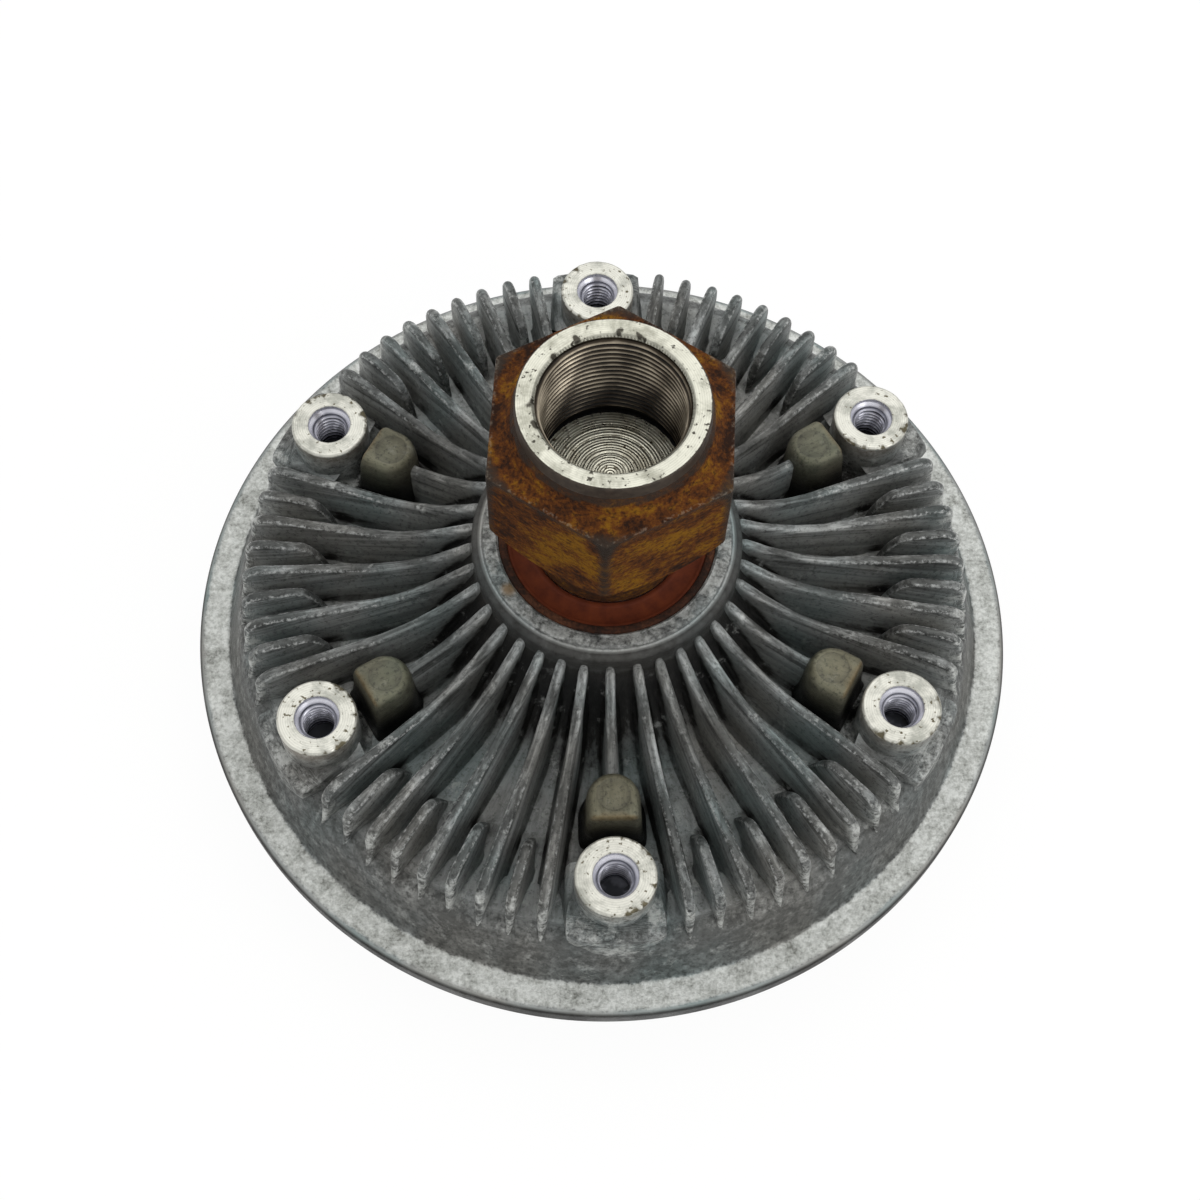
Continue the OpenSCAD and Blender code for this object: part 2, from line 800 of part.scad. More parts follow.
// Plate over the reservoir, with the port that the arm covers
module valve_plate() {
  color(bright_steel) difference() {
    translate([0, 0, z_plate]) cylinder(r = plate_r, h = plate_t);
    rotate([0, 0, valve_turn]) translate([port_r, 0, z_plate - 1]) cylinder(r = port_d / 2, h = plate_t + 2, $fn = 48);
    around(screw_count, first_screw) translate([screw_circle_r, 0, z_plate - 1]) cylinder(r = screw_r + 0.1, h = plate_t + 2, $fn = 32);
  }
}

module valve_plate_screws() {
  color(bright_steel) around(screw_count, first_screw) translate([screw_circle_r, 0, 0]) difference() {
    union() {
      translate([0, 0, z_plate - screw_len]) cylinder(r = screw_r, h = screw_len + plate_t, $fn = 32);
      translate([0, 0, z_cover_in]) cylinder(r1 = screw_head_r, r2 = screw_head_r - 0.3, h = screw_head_h, $fn = 32);
    }
    translate([-screw_head_r, -0.3, z_cover_in + 0.45]) cube([2 * screw_head_r, 0.6, 1]);
  }
}

module valve_shaft() {
  color(bright_steel) difference() {
    union() {
      translate([0, 0, z_coil]) cylinder(r = valve_r, h = z_arm - z_coil, $fn = 48);
      translate([0, 0, z_arm - 1]) cylinder(r = tenon_r, h = arm_t + 1, $fn = 48);
    }
    // Slot for the coil's inner end, and the clip's groove
    translate([-valve_r - 1, -coil_t / 2 - slot_gap, z_coil - 1]) cube([2 * valve_r + 2, coil_t + 2 * slot_gap, coil_w + 1.1]);
    ring(valve_r - 0.6, valve_r + 1, z_clip - 0.02, z_clip + clip_t + 0.02);
  }
}

// Arm whose round end covers the port when the clutch is cold
module valve_arm() {
  eye_r = valve_r + 2.5;
  color(bright_steel) rotate([0, 0, valve_turn]) translate([0, 0, z_arm]) difference() {
    union() {
      cylinder(r = eye_r, h = arm_t, $fn = 48);
      translate([0, -arm_bar_w / 2, 0]) cube([port_r, arm_bar_w, arm_t]);
      translate([port_r, 0, 0]) cylinder(r = arm_w / 2, h = arm_t, $fn = 48);
    }
    translate([0, 0, -1]) cylinder(r = tenon_r + seat_gap, h = arm_t + 2, $fn = 48);
  }
}

module valve_shaft_seal() {
  color(seal_black) rotate_extrude() translate([valve_r + 0.85, z_reservoir]) circle(r = o_ring_r, $fn = 24);
}

module valve_shaft_clip() {
  color(bright_steel) difference() {
    ring(valve_r - 0.6 + seat_gap, clip_r, z_clip, z_clip + clip_t);
    translate([0, -valve_r * 0.7, z_clip - 1]) cube([clip_r + 1, valve_r * 1.4, clip_t + 2]);
  }
}

// Spiral strip: its inner end sits in the shaft's slot, its outer end in the cover's lug
module bimetal_coil() {
  steps = 24 * coil_turns;
  outer_edge = [for (i = [0:steps]) let (a = 360 * coil_turns * i / steps, r = coil_in_r + coil_pitch * a / 360 + coil_t / 2) [r * cos(a), r * sin(a)]];
  inner_edge = [for (i = [steps:-1:0]) let (a = 360 * coil_turns * i / steps, r = coil_in_r + coil_pitch * a / 360 - coil_t / 2) [r * cos(a), r * sin(a)]];
  color(bimetal_grey) translate([0, 0, z_coil]) linear_extrude(height = coil_w) union() {
    polygon(concat(outer_edge, inner_edge));
    translate([-valve_r + 0.4, -coil_t / 2]) square([valve_r - 0.4 + coil_in_r, coil_t]);
    translate([coil_out_r - coil_t / 2, -coil_t / 2]) square([tail_len + coil_t / 2, coil_t]);
  }
}

housing();
front_cover();
cover_seal_ring();
return_plug();
pump_wiper();
hub_shaft();
rotor_disc();
rotor_retaining_ring();
bearing_outer_ring();
bearing_inner_ring();
bearing_balls();
bearing_cage();
rear_bearing_seal();
front_bearing_seal();
valve_plate();
valve_plate_screws();
valve_shaft();
valve_arm();
valve_shaft_seal();
valve_shaft_clip();
bimetal_coil();
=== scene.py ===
# %% [markdown]
# # A viscous fan clutch
# This clutch sits between an engine's water pump and its cooling fan: a finned aluminium housing carries
# the fan on six threaded bosses, and a rusty steel hub with a hexagon and a threaded socket spins in it.
# Each piece that the eye meets becomes a surface worked out with numpy, and every other piece keeps its
# solid and gets a finish.

# %% Frame and units
import math
from functools import partial

import bmesh
import bpy
import numpy as np
from mathutils import Matrix


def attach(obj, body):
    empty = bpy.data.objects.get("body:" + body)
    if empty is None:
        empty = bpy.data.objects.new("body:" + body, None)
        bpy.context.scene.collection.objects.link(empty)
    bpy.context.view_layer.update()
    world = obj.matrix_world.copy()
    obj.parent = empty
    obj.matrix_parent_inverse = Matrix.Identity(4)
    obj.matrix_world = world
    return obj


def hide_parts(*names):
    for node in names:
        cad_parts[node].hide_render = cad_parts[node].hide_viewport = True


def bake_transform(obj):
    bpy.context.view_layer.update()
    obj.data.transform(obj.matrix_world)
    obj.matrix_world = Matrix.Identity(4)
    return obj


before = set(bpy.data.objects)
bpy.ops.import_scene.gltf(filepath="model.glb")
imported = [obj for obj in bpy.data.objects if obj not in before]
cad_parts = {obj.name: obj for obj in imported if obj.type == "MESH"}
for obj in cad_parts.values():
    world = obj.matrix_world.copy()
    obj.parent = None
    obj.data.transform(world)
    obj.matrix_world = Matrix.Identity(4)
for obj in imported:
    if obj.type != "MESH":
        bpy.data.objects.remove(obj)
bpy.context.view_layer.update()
scene = bpy.context.scene
MM = 0.001
chance = np.random.default_rng(11)

# %% [markdown]
# ## Surfaces from arrays
# Every new piece is a grid of points, rows along a profile and columns along a path or around an axis.
# The points come from a formula, the quads from index arithmetic, and seams and poles close when points
# that coincide are welded. A profile that climbs on its outer side has its quads turned round, so that
# every face looks out of the metal.


# %% Grids and small formulas
def grid(points, wrap_rows=False, wrap_cols=False):
    """Quads between neighbouring points of a (rows, columns, 3) array, which look along rows x columns.
    A wrapped side joins its last line to its first."""
    rows, cols = points.shape[:2]
    i, j = np.meshgrid(np.arange(rows - (not wrap_rows)), np.arange(cols - (not wrap_cols)), indexing="ij")
    down, right = (i + 1) % rows, (j + 1) % cols
    quads = np.stack([i * cols + j, down * cols + j, down * cols + right, i * cols + right], -1)
    return points.reshape(-1, 3), quads.reshape(-1, 4)


def full_turn(steps):
    """Equal angles of one turn, in radians: 2 pi k / steps."""
    return np.arange(steps) * 2 * np.pi / steps


def lathe(profile, steps, centre=(0.0, 0.0), wrap=False):
    """Radius and height pairs swept about an upright axis: (cx + r cos a, cy + r sin a, z)."""
    turn = full_turn(steps)
    r, z = np.asarray(profile, float).T[:, :, None]
    points = np.stack([centre[0] + r * np.cos(turn), centre[1] + r * np.sin(turn), z + 0 * turn], -1)
    return grid(points, wrap, True)


def turned(points, degrees):
    """Points turned about Z by an angle."""
    c, s = math.cos(math.radians(degrees)), math.sin(math.radians(degrees))
    return points @ np.array([[c, s, 0], [-s, c, 0], [0, 0, 1.0]])


def arc(x, y, r, first, last, count):
    """Points of an arc between two angles in degrees: (x + r cos a, y + r sin a)."""
    a = np.radians(np.linspace(first, last, count))
    return np.stack([x + r * np.cos(a), y + r * np.sin(a)], 1)


def ease(value, low, high):
    """Smooth step from 0 at low to 1 at high: t t (3 - 2 t)."""
    t = np.clip((value - low) / (high - low), 0, 1)
    return t * t * (3 - 2 * t)


def read(table, x):
    """Value at x on a line through (x, value) pairs."""
    return np.interp(x, *np.transpose(table))


# %% [markdown]
# ## From arrays to a piece
# A piece is one mesh of several surfaces, each with its own finish. Its points carry what a formula knows
# better than noise: "depth" (1 in dirt or under full rust, and high where shade is painted into recesses),
# "pale" (bare or salty metal), "stain" (rusty dust), the rubbed edges (lighter as wear and as a painted
# highlight), "calm" (even skin), "ring" (millimetres from the axis of turning) and "flow", coordinates on a
# drum whose grain runs out along the fins.

# %% Piece
KEYS = ("depth", "pale", "ring", "stain", "worn_and_highlit", "calm")
DRUM_R, DRUM_SLOPE, FLOW_FROM, FLOW_TO = 60 * MM, 0.2, 29.35 * MM, 79.5 * MM
WELD = 2e-6


def describe(mesh, surfaces, points):
    """Writes the attributes. Among the fins flow is (R cos a, R sin a, z + 0.2 r), elsewhere the point."""
    for key in KEYS:
        values = [np.broadcast_to(s[3].get(key, 0.0), len(s[0])) for s in surfaces]
        layer = mesh.attributes.new(key, "FLOAT", "POINT")
        layer.data.foreach_set("value", np.concatenate(values).astype(np.float32))
    radius = np.hypot(points[:, 0], points[:, 1])
    around = DRUM_R * points[:, :2] / np.maximum(radius, MM)[:, None]
    drum = np.column_stack([around, points[:, 2] + DRUM_SLOPE * radius])
    finned = (radius > FLOW_FROM) & (radius < FLOW_TO)
    flow = np.where(finned[:, None], drum, points).astype(np.float32)
    mesh.attributes.new("flow", "FLOAT_VECTOR", "POINT").data.foreach_set("vector", flow.ravel())


def piece(name, surfaces, finishes, node, sharp=38.0):
    """One mesh object from surfaces (points in mm, quads, finish number, attributes), instead of a node."""
    points = np.concatenate([s[0] for s in surfaces]) * MM
    starts = np.cumsum([0] + [len(s[0]) for s in surfaces[:-1]])
    quads = np.concatenate([s[1] + start for s, start in zip(surfaces, starts)])
    numbers = np.concatenate([np.full(len(s[1]), s[2]) for s in surfaces])
    mesh = bpy.data.meshes.new(name)
    mesh.vertices.add(len(points))
    mesh.vertices.foreach_set("co", points.ravel())
    mesh.loops.add(quads.size)
    mesh.loops.foreach_set("vertex_index", quads.ravel())
    mesh.polygons.add(len(quads))
    mesh.polygons.foreach_set("loop_start", np.arange(len(quads)) * 4)
    mesh.polygons.foreach_set("material_index", numbers)
    describe(mesh, surfaces, points)
    mesh.update(calc_edges=True)
    work = bmesh.new()
    work.from_mesh(mesh)
    bmesh.ops.remove_doubles(work, verts=work.verts, dist=WELD)
    work.to_mesh(mesh)
    work.free()
    mesh.polygons.foreach_set("use_smooth", np.ones(len(mesh.polygons), bool))
    mesh.set_sharp_from_angle(angle=math.radians(sharp))
    for finish in finishes:
        mesh.materials.append(finish)
    thing = bpy.data.objects.new(name, mesh)
    scene.collection.objects.link(thing)
    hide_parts(node)
    print(f"{name}: {len(mesh.vertices)} points, {len(mesh.loops) - 2 * len(mesh.polygons)} triangles")
    return thing


# %% [markdown]
# ## Finishes from nodes
# A finish is a small tree of nodes. One function adds a node, sets its values and links its inputs, so a
# tree reads from top to bottom. Colours are written as the eye sees them, in sRGB, and turned to linear.
# Patterns read Object coordinates in metres, so a feature of s millimetres has a noise scale of 1000 / s.


# %% Colour and node helpers
def linear(code, alpha=1.0):
    """sRGB hex to linear RGBA: c / 12.92 below 0.04045, ((c + 0.055) / 1.055) ** 2.4 above."""
    parts = [int(code[i : i + 2], 16) / 255 for i in (1, 3, 5)]
    return tuple(c / 12.92 if c <= 0.04045 else ((c + 0.055) / 1.055) ** 2.4 for c in parts) + (alpha,)


def out(source):
    """A socket as it is, or the first open output of a node."""
    if isinstance(source, bpy.types.Node):
        return next(output for output in source.outputs if output.enabled)
    return source


def add(tree, kind, links=(), ramp=None, **settings):
    """Adds a shader node. Settings are its properties or, by input name or number (in0, in1), its values.
    Links are sockets or nodes, listed for the first inputs or by input. A ramp lists places and colours."""
    made = tree.nodes.new("ShaderNode" + kind)
    for key, value in settings.items():
        if hasattr(made, key):
            setattr(made, key, value)
        else:
            entry = int(key[2:]) if key[2:].isdigit() else key.replace("_", " ")
            made.inputs[entry].default_value = value
    if ramp:
        while len(made.color_ramp.elements) < len(ramp):
            made.color_ramp.elements.new(0.5)
        for element, (place, code) in zip(made.color_ramp.elements, ramp):
            element.position, element.color = place, linear(code)
    for key, source in links.items() if isinstance(links, dict) else enumerate(links):
        tree.links.new(out(source), made.inputs[key])
    return made


def finish_tree(name, keys=(), **surface):
    """A finish whose shader has the constant values in surface. Gives the material, add() for its tree, its
    Object coordinates, and the attributes in keys."""
    material = bpy.data.materials.new(name)
    material.use_nodes = True
    node = partial(add, material.node_tree)
    for key, value in surface.items():
        material.node_tree.nodes["Principled BSDF"].inputs[key.replace("_", " ")].default_value = value
    fields = [node("Attribute", attribute_name=key).outputs["Fac"] for key in keys]
    return material, node, node("TexCoord").outputs["Object"], *fields


def drive(material, **sources):
    """Links what varies over a surface to the shader, by input name, and gives the material back."""
    shader = material.node_tree.nodes["Principled BSDF"]
    for key, source in sources.items():
        material.node_tree.links.new(out(source), shader.inputs[key.replace("_", " ")])
    return material


# %% [markdown]
# ### Die-cast aluminium, years in an engine bay
# The casting left its die grey and satin. Oil and road dirt have blackened its corners, along with shade
# painted into its recesses and down the fins to their roots. The crests are pitted and rubbed, their rubbed
# edges carry a painted highlight too, and white oxide blooms on open faces. A painted texture would need an
# unwrapped mesh, so noise of five sizes is laid over the attributes: "depth" picks the tone, dark for dirt
# and for painted shade, "pale" lets salt-eaten metal through, and "calm" quietens both.

# %% Die-cast aluminium
# The soot and oil tones also stand for painted shade in recesses, and the rubbed tone is a painted highlight
# too.
SOOT_AND_SHADE, OIL_AND_SHADE, PIT, RUBBED_AND_HIGHLIGHT, RUST_DUST = "#2b2a28", "#0d0d0c", "#242422", "#c6c8c6", "#7a5a22"
SALT_LOW, SALT_MID, CALM_GRAIN = "#777872", "#adafaa", 0.16


def cast_aluminium(name, crest, flank, floor, bare, streaked=True, grain=1.0):
    keys = ("depth", "pale", "stain", "worn_and_highlit", "calm")
    material, node, place, depth, pale, stain, worn_and_highlit, calm = finish_tree(name, keys, Metallic=0.55)
    flow = node("Attribute", attribute_name="flow").outputs["Vector"] if streaked else place
    lively = node("MapRange", [calm], To_Min=grain, To_Max=CALM_GRAIN)
    wide = node("TexNoise", [place], Scale=1000 / 24, Detail=3.0)
    cloud = node("TexNoise", [place], Scale=1000 / 11, Detail=6.0, Roughness=0.6)
    bloom = node("TexNoise", [place], Scale=1000 / 5, Detail=8.0, Roughness=0.68)
    grit = node("TexNoise", [flow], Scale=1000 / 2, Detail=6.0, Roughness=0.72)
    fleck = node("TexNoise", [place], Scale=1000 / 1, Detail=5.0, Roughness=0.75)
    # The tone: depth, shifted by grit and cloud, then a slow tint (brown patches as real tint, teal patches
    # as a painted sheen) and a fine mottle.
    shift = node("Math", [grit], operation="MULTIPLY_ADD", in1=0.7, in2=-0.6)
    shift = node("Math", {0: cloud, 2: shift}, operation="MULTIPLY_ADD", in1=0.5)
    sunk = node("Math", [shift, lively, depth], operation="MULTIPLY_ADD", use_clamp=True)
    # The darkest stops serve soot and oil and also painted shade at the fins' roots and in recesses.
    tones = [(0.0, crest), (0.28, flank), (0.62, floor), (0.86, SOOT_AND_SHADE), (1.0, OIL_AND_SHADE)]
    colour = node("ValToRGB", [sunk], ramp=tones)
    tint_and_sheen = node("ValToRGB", [wide], ramp=[(0.36, "#f3eee8"), (0.5, "#f8f8f6"), (0.66, "#dde9e8")])
    colour = node("Mix", {6: colour, 7: tint_and_sheen}, data_type="RGBA", blend_type="MULTIPLY", in0=1.0)
    mottle = node("MapRange", [grit], From_Min=0.32, From_Max=0.68, To_Min=0.5, To_Max=1.42)
    colour = node("Mix", {0: lively, 6: colour, 7: mottle}, data_type="RGBA", blend_type="MULTIPLY")
    # Dark pits, most of them on open faces, and rubbed edges, lighter as wear and as a painted highlight.
    most = node("MapRange", [depth], From_Min=0.12, From_Max=0.5, To_Min=0.55, To_Max=0.45)
    most = node("Math", [most, lively], operation="MULTIPLY")
    pit = node("MapRange", {"Value": fleck, "To Max": most}, From_Min=0.48, From_Max=0.38)
    rub_and_highlight = node("Math", {0: worn_and_highlit, 2: fleck}, operation="MULTIPLY_ADD", in1=0.55)
    rub_and_highlight = node("MapRange", [rub_and_highlight], From_Min=0.98, From_Max=1.16, To_Max=0.9)
    for share, tone in ((pit, PIT), (rub_and_highlight, RUBBED_AND_HIGHLIGHT)):
        colour = node("Mix", {0: share, 6: colour}, data_type="RGBA", in7=linear(tone))
    # White oxide, thicker where pale is high, and rusty dust over all.
    cover = node("Math", {0: fleck, 2: bloom}, operation="MULTIPLY_ADD", in1=0.3)
    cover = node("Math", {0: pale, 2: cover}, operation="MULTIPLY_ADD", in1=0.45)
    most = node("MapRange", [pale], To_Min=0.5)
    most = node("Math", [most, lively], operation="MULTIPLY")
    cover = node("MapRange", {"Value": cover, "To Max": most}, From_Min=0.74, From_Max=0.88)
    crystal = node("Math", [bloom, fleck])
    crystal = node("Math", [crystal], operation="MULTIPLY", in1=0.5)
    salt = node("ValToRGB", [crystal], ramp=[(0.37, SALT_LOW), (0.46, SALT_MID), (0.58, bare)])
    colour = node("Mix", {0: cover, 6: colour, 7: salt}, data_type="RGBA")
    colour = node("Mix", {0: stain, 6: colour}, data_type="RGBA", in7=linear(RUST_DUST))
    rough = node("MapRange", [cloud], From_Min=0.3, From_Max=0.7, To_Min=0.36, To_Max=0.62)
    bump = node("Bump", {"Height": fleck}, Strength=0.4, Distance=0.3 * MM)
    bump = node("Bump", {"Height": grit, "Normal": bump}, Strength=0.4, Distance=0.6 * MM)
    return drive(material, Base_Color=colour, Roughness=rough, Normal=bump)


# Die-cast aluminium under oil, road dirt and painted shade, the same with dry dust, and the cleaner cover.
housing_cast = cast_aluminium("die_cast_aluminium_grime_and_shade", "#5a5c5b", "#a3a6a6", "#9a9d9c", "#dadcd8")
pad_cast = cast_aluminium("die_cast_aluminium_dusty", "#7c7b67", "#626153", "#4a483e", "#85857a")
cover_tones = ("#929593", "#8b8e8d", "#6a6c6b", "#bcbeb8")
cover_cast = cast_aluminium("die_cast_aluminium_cover", *cover_tones, streaked=False, grain=0.5)
print("nodes in the cast finish:", len(housing_cast.node_tree.nodes))

# %% [markdown]
# ### Machined faces
# The boss faces and the collar were skimmed after casting or forging, and handling has kept them bright.
# Fine rings from the cutter are a sine of the "ring" attribute, because noise alone has no centre. Dirt
# sits in small pits and along chipped edges, where "depth" is high.


# %% Machined faces
def machined(name, bright, mark, dirt, roughness, ring_mm, relief, metallic=0.75):
    material, node, place, depth, ring = finish_tree(name, ("depth", "ring"), Metallic=metallic)
    patch = node("TexNoise", [place], Scale=1000 / 6, Detail=5.0, Roughness=0.7)
    wobble = node("TexNoise", [place], Scale=1000 / 2.4, Detail=5.0, Roughness=0.7)
    speck = node("TexNoise", [place], Scale=1000 / 1, Detail=3.0)
    # Cutter rings and dull patches.
    beat = node("Math", [ring], operation="MULTIPLY", in1=2 * math.pi / ring_mm)
    beat = node("Math", [beat], operation="SINE")
    line = node("MapRange", [beat], To_Max=0.25)
    colour = node("Mix", [line], data_type="RGBA", in6=linear(bright), in7=linear(mark))
    dull = node("MapRange", [patch], From_Min=0.48, From_Max=0.64, To_Max=0.75)
    # Dirt by depth, and specks anywhere.
    soil = node("Math", {0: wobble, 2: depth}, operation="MULTIPLY_ADD", in1=0.8)
    soil = node("MapRange", [soil], From_Min=0.72, From_Max=0.95)
    speck = node("MapRange", [speck], From_Min=0.62, From_Max=0.69)
    soil = node("Math", [soil, speck], operation="MAXIMUM")
    for share, tone in ((dull, mark), (soil, dirt)):
        colour = node("Mix", {0: share, 6: colour}, data_type="RGBA", in7=linear(tone))
    low, high = roughness - 0.08, roughness + 0.15
    rough = node("MapRange", [wobble], From_Min=0.3, From_Max=0.7, To_Min=low, To_Max=high)
    bump = node("Bump", {"Height": beat}, Strength=1.0, Distance=relief * MM)
    bump = node("Bump", {"Height": wobble, "Normal": bump}, Strength=0.2, Distance=0.3 * MM)
    return drive(material, Base_Color=colour, Roughness=rough, Normal=bump)


# Skimmed aluminium, turned steel with handling marks, and the brighter turned floor of the socket.
boss_face = machined("machined_aluminium_boss", "#d3d2c8", "#94958c", "#5f5947", 0.4, 0.5, 0.01)
turned_steel = machined("turned_steel_collar", "#cbcabc", "#8c8b7d", "#423f37", 0.36, 0.45, 0.009)
floor_tones = ("#d6d3c1", "#a8a089", "#5a5140")
socket_floor = machined("turned_steel_socket", *floor_tones, 0.27, 0.6, 0.02, metallic=0.85)

# %% [markdown]
# ### Cut threads
# The crests of a thread are painted bright as a highlight, and its roots dark, as old oil and as painted
# shade. The helix is in the mesh, so the finish only needs to know how deep a point lies: "depth" is 0 on a
# crest and 1 in a root or at the bottom.


# %% Cut threads
def threaded(name, crest, flank, root):
    material, node, place, depth = finish_tree(name, ("depth",), Metallic=0.65)
    smear = node("TexNoise", [place], Scale=1000 / 5, Detail=3.0)
    deep = node("Math", [smear], operation="MULTIPLY_ADD", in1=0.5, in2=-0.25)
    deep = node("Math", [depth, deep], use_clamp=True)
    # Crest tones are a painted highlight; root tones are old oil and painted shade, black at the bottom.
    tones = [(0.05, crest), (0.35, flank), (0.65, root), (1.0, "#080808")]
    colour = node("ValToRGB", [deep], ramp=tones)
    rough = node("MapRange", [deep], To_Min=0.26, To_Max=0.5)
    bump = node("Bump", {"Height": smear}, Strength=0.1, Distance=0.2 * MM)
    return drive(material, Base_Color=colour, Roughness=rough, Normal=bump)


# Clean tapped aluminium, and cut steel with brown oil; both have painted highlights on crests and painted
# shade in roots.
tapped = threaded("tapped_aluminium_thread", "#e4e4ec", "#93949f", "#22242a")
cut_thread = threaded("cut_steel_thread", "#bdb19c", "#362d21", "#0a0806")

# %% [markdown]
# ### Rusted steel
# The hexagon was left bare, so it carries an even coat of rust: ochre where it is powdery, deep brown where
# it is thick, and dark oily steel where a spanner has rubbed the corners. Rust is a dielectric, so metal
# shows only where the coat is thin. "depth" is 1 on full rust and 0 on rubbed steel, "stain" adds ochre
# powder, and "pale" is a bright nick.


# %% Rusted steel
def rusted(name, ochre, orange, brown, steel):
    keys = ("depth", "pale", "stain")
    material, node, place, depth, pale, stain = finish_tree(name, keys, Specular_IOR_Level=0.15)
    flat = node("Mapping", [place], Scale=(1.0, 1.0, 2.0))
    cloud = node("TexNoise", [place], Scale=1000 / 9, Detail=6.0)
    flake = node("TexNoise", [flat], Scale=1000 / 2.6, Detail=7.0, Roughness=0.75)
    crumb = node("TexNoise", [flat], Scale=1000 / 1.1, Detail=5.0, Roughness=0.7)
    grain = node("TexNoise", [place], Scale=1000 / 0.7, Detail=3.0)
    # The coat's tone from clouds, flakes, grain and powder, with dark crumbs.
    tone = node("Math", {0: flake, 2: cloud}, operation="MULTIPLY_ADD", in1=0.9)
    tone = node("Math", {0: grain, 2: tone}, operation="MULTIPLY_ADD", in1=0.4)
    tone = node("Math", {0: stain, 2: tone}, operation="MULTIPLY_ADD", in1=0.17)
    tone = node("MapRange", [tone], From_Min=0.98, From_Max=1.46)
    coat = node("ValToRGB", [tone], ramp=[(0.05, brown), (0.45, orange), (0.85, ochre)])
    crumb = node("MapRange", [crumb], From_Min=0.5, From_Max=0.36, To_Max=0.8)
    coat = node("Mix", {0: crumb, 6: coat}, data_type="RGBA", in7=linear(brown))
    # Steel where the coat is thin, and bright nicks.
    thin = node("Math", {0: flake, 2: depth}, operation="MULTIPLY_ADD", in1=0.9)
    thin = node("MapRange", [thin], From_Min=0.6, From_Max=1.15)
    colour = node("Mix", {0: thin, 7: coat}, data_type="RGBA", in6=linear(steel))
    nick = node("MapRange", {"Value": grain, "To Max": pale}, From_Min=0.5, From_Max=0.64)
    colour = node("Mix", {0: nick, 6: colour}, data_type="RGBA", in7=linear("#8d867a"))
    rough = node("MapRange", [thin], To_Min=0.45, To_Max=0.8)
    metal = node("MapRange", [thin], To_Min=0.4, To_Max=0.0)
    bump = node("Bump", {"Height": grain}, Strength=0.35, Distance=0.3 * MM)
    bump = node("Bump", {"Height": tone, "Normal": bump}, Strength=0.5, Distance=0.5 * MM)
    return drive(material, Base_Color=colour, Roughness=rough, Normal=bump, Metallic=metal)


# Forged steel under powdery rust, and bearing steel with a thin brown film.
rusty_hub = rusted("forged_steel_rusted", "#7f5610", "#5e3411", "#27150b", "#342b24")
rusty_ring = rusted("bearing_steel_light_rust", "#5c3a27", "#45291c", "#281b15", "#332b26")

# %% [markdown]
# ### Rubber, plated steel and strip
# The bearing's seals are brick-red nitrile rubber, dull and a little dusty. The pieces inside the clutch
# have plain clean finishes. One noise drives colour, roughness and relief, and each finish is told apart by
# the size of its grain.


# %% Plain finishes
def plain(name, low, high, grain_mm, metallic, rough_low, rough_high, relief, shine=0.5):
    material, node, place = finish_tree(name, Metallic=metallic, Specular_IOR_Level=shine)
    grain = node("TexNoise", [place], Scale=1000 / grain_mm, Detail=5.0, Roughness=0.65)
    colour = node("ValToRGB", [grain], ramp=[(0.3, low), (0.7, high)])
    rough = node("MapRange", [grain], To_Min=rough_low, To_Max=rough_high)
    bump = node("Bump", {"Height": grain}, Strength=0.3, Distance=relief * MM)
    return drive(material, Base_Color=colour, Roughness=rough, Normal=bump)


# Moulded rubber: the bearing's seals, and the O-rings.
seal_red = plain("nitrile_rubber_brick_red", "#4c1d0c", "#692f15", 3.0, 0.0, 0.6, 0.8, 0.1, shine=0.2)
seal_black = plain("nitrile_rubber_black", "#131313", "#1f1f1f", 1.5, 0.0, 0.5, 0.7, 0.05)
# Steel and aluminium: the collar's dark side, turned disc, plated sheet, balls, ground ring, rolled strip.
collar_dark = plain("blackened_steel_collar", "#2c241d", "#4a4036", 1.6, 0.4, 0.4, 0.65, 0.15)
rotor_turned = plain("turned_aluminium", "#a8aaab", "#bcbdbd", 0.8, 0.9, 0.3, 0.45, 0.03)
zinc_steel = plain("zinc_plated_steel", "#9c9b93", "#b5b4ab", 1.2, 0.9, 0.3, 0.5, 0.02)
ball_steel = plain("polished_bearing_steel", "#b4b4b4", "#c2c2c2", 4.0, 1.0, 0.1, 0.2, 0.001)
ring_steel = plain("ground_bearing_steel", "#9b9a98", "#aaa9a7", 1.0, 1.0, 0.25, 0.4, 0.01)
bimetal = plain("rolled_bimetal_strip", "#8a8067", "#a1967a", 2.0, 0.85, 0.35, 0.5, 0.02)
# Moulded polyamide with glass fibre: the bearing's cage.
cage_polymer = plain("glass_filled_polyamide", "#2a2a28", "#353532", 0.8, 0.0, 0.5, 0.65, 0.03)
print("finishes so far:", len(bpy.data.materials))

# %% [markdown]
# ## The housing's wall
# The wall is a body of revolution: staked bearing ring, cone, floor, rounded shoulder, rim with its flat
# band, and the rolled lip that holds the cover. Its outer line, read as a height for each radius, later
# tells the fins where the floor is. Tables over the radius hold the attributes: dark ring, grey cone,
# clean shoulder, pale band, and a rim side painted darker as shade.

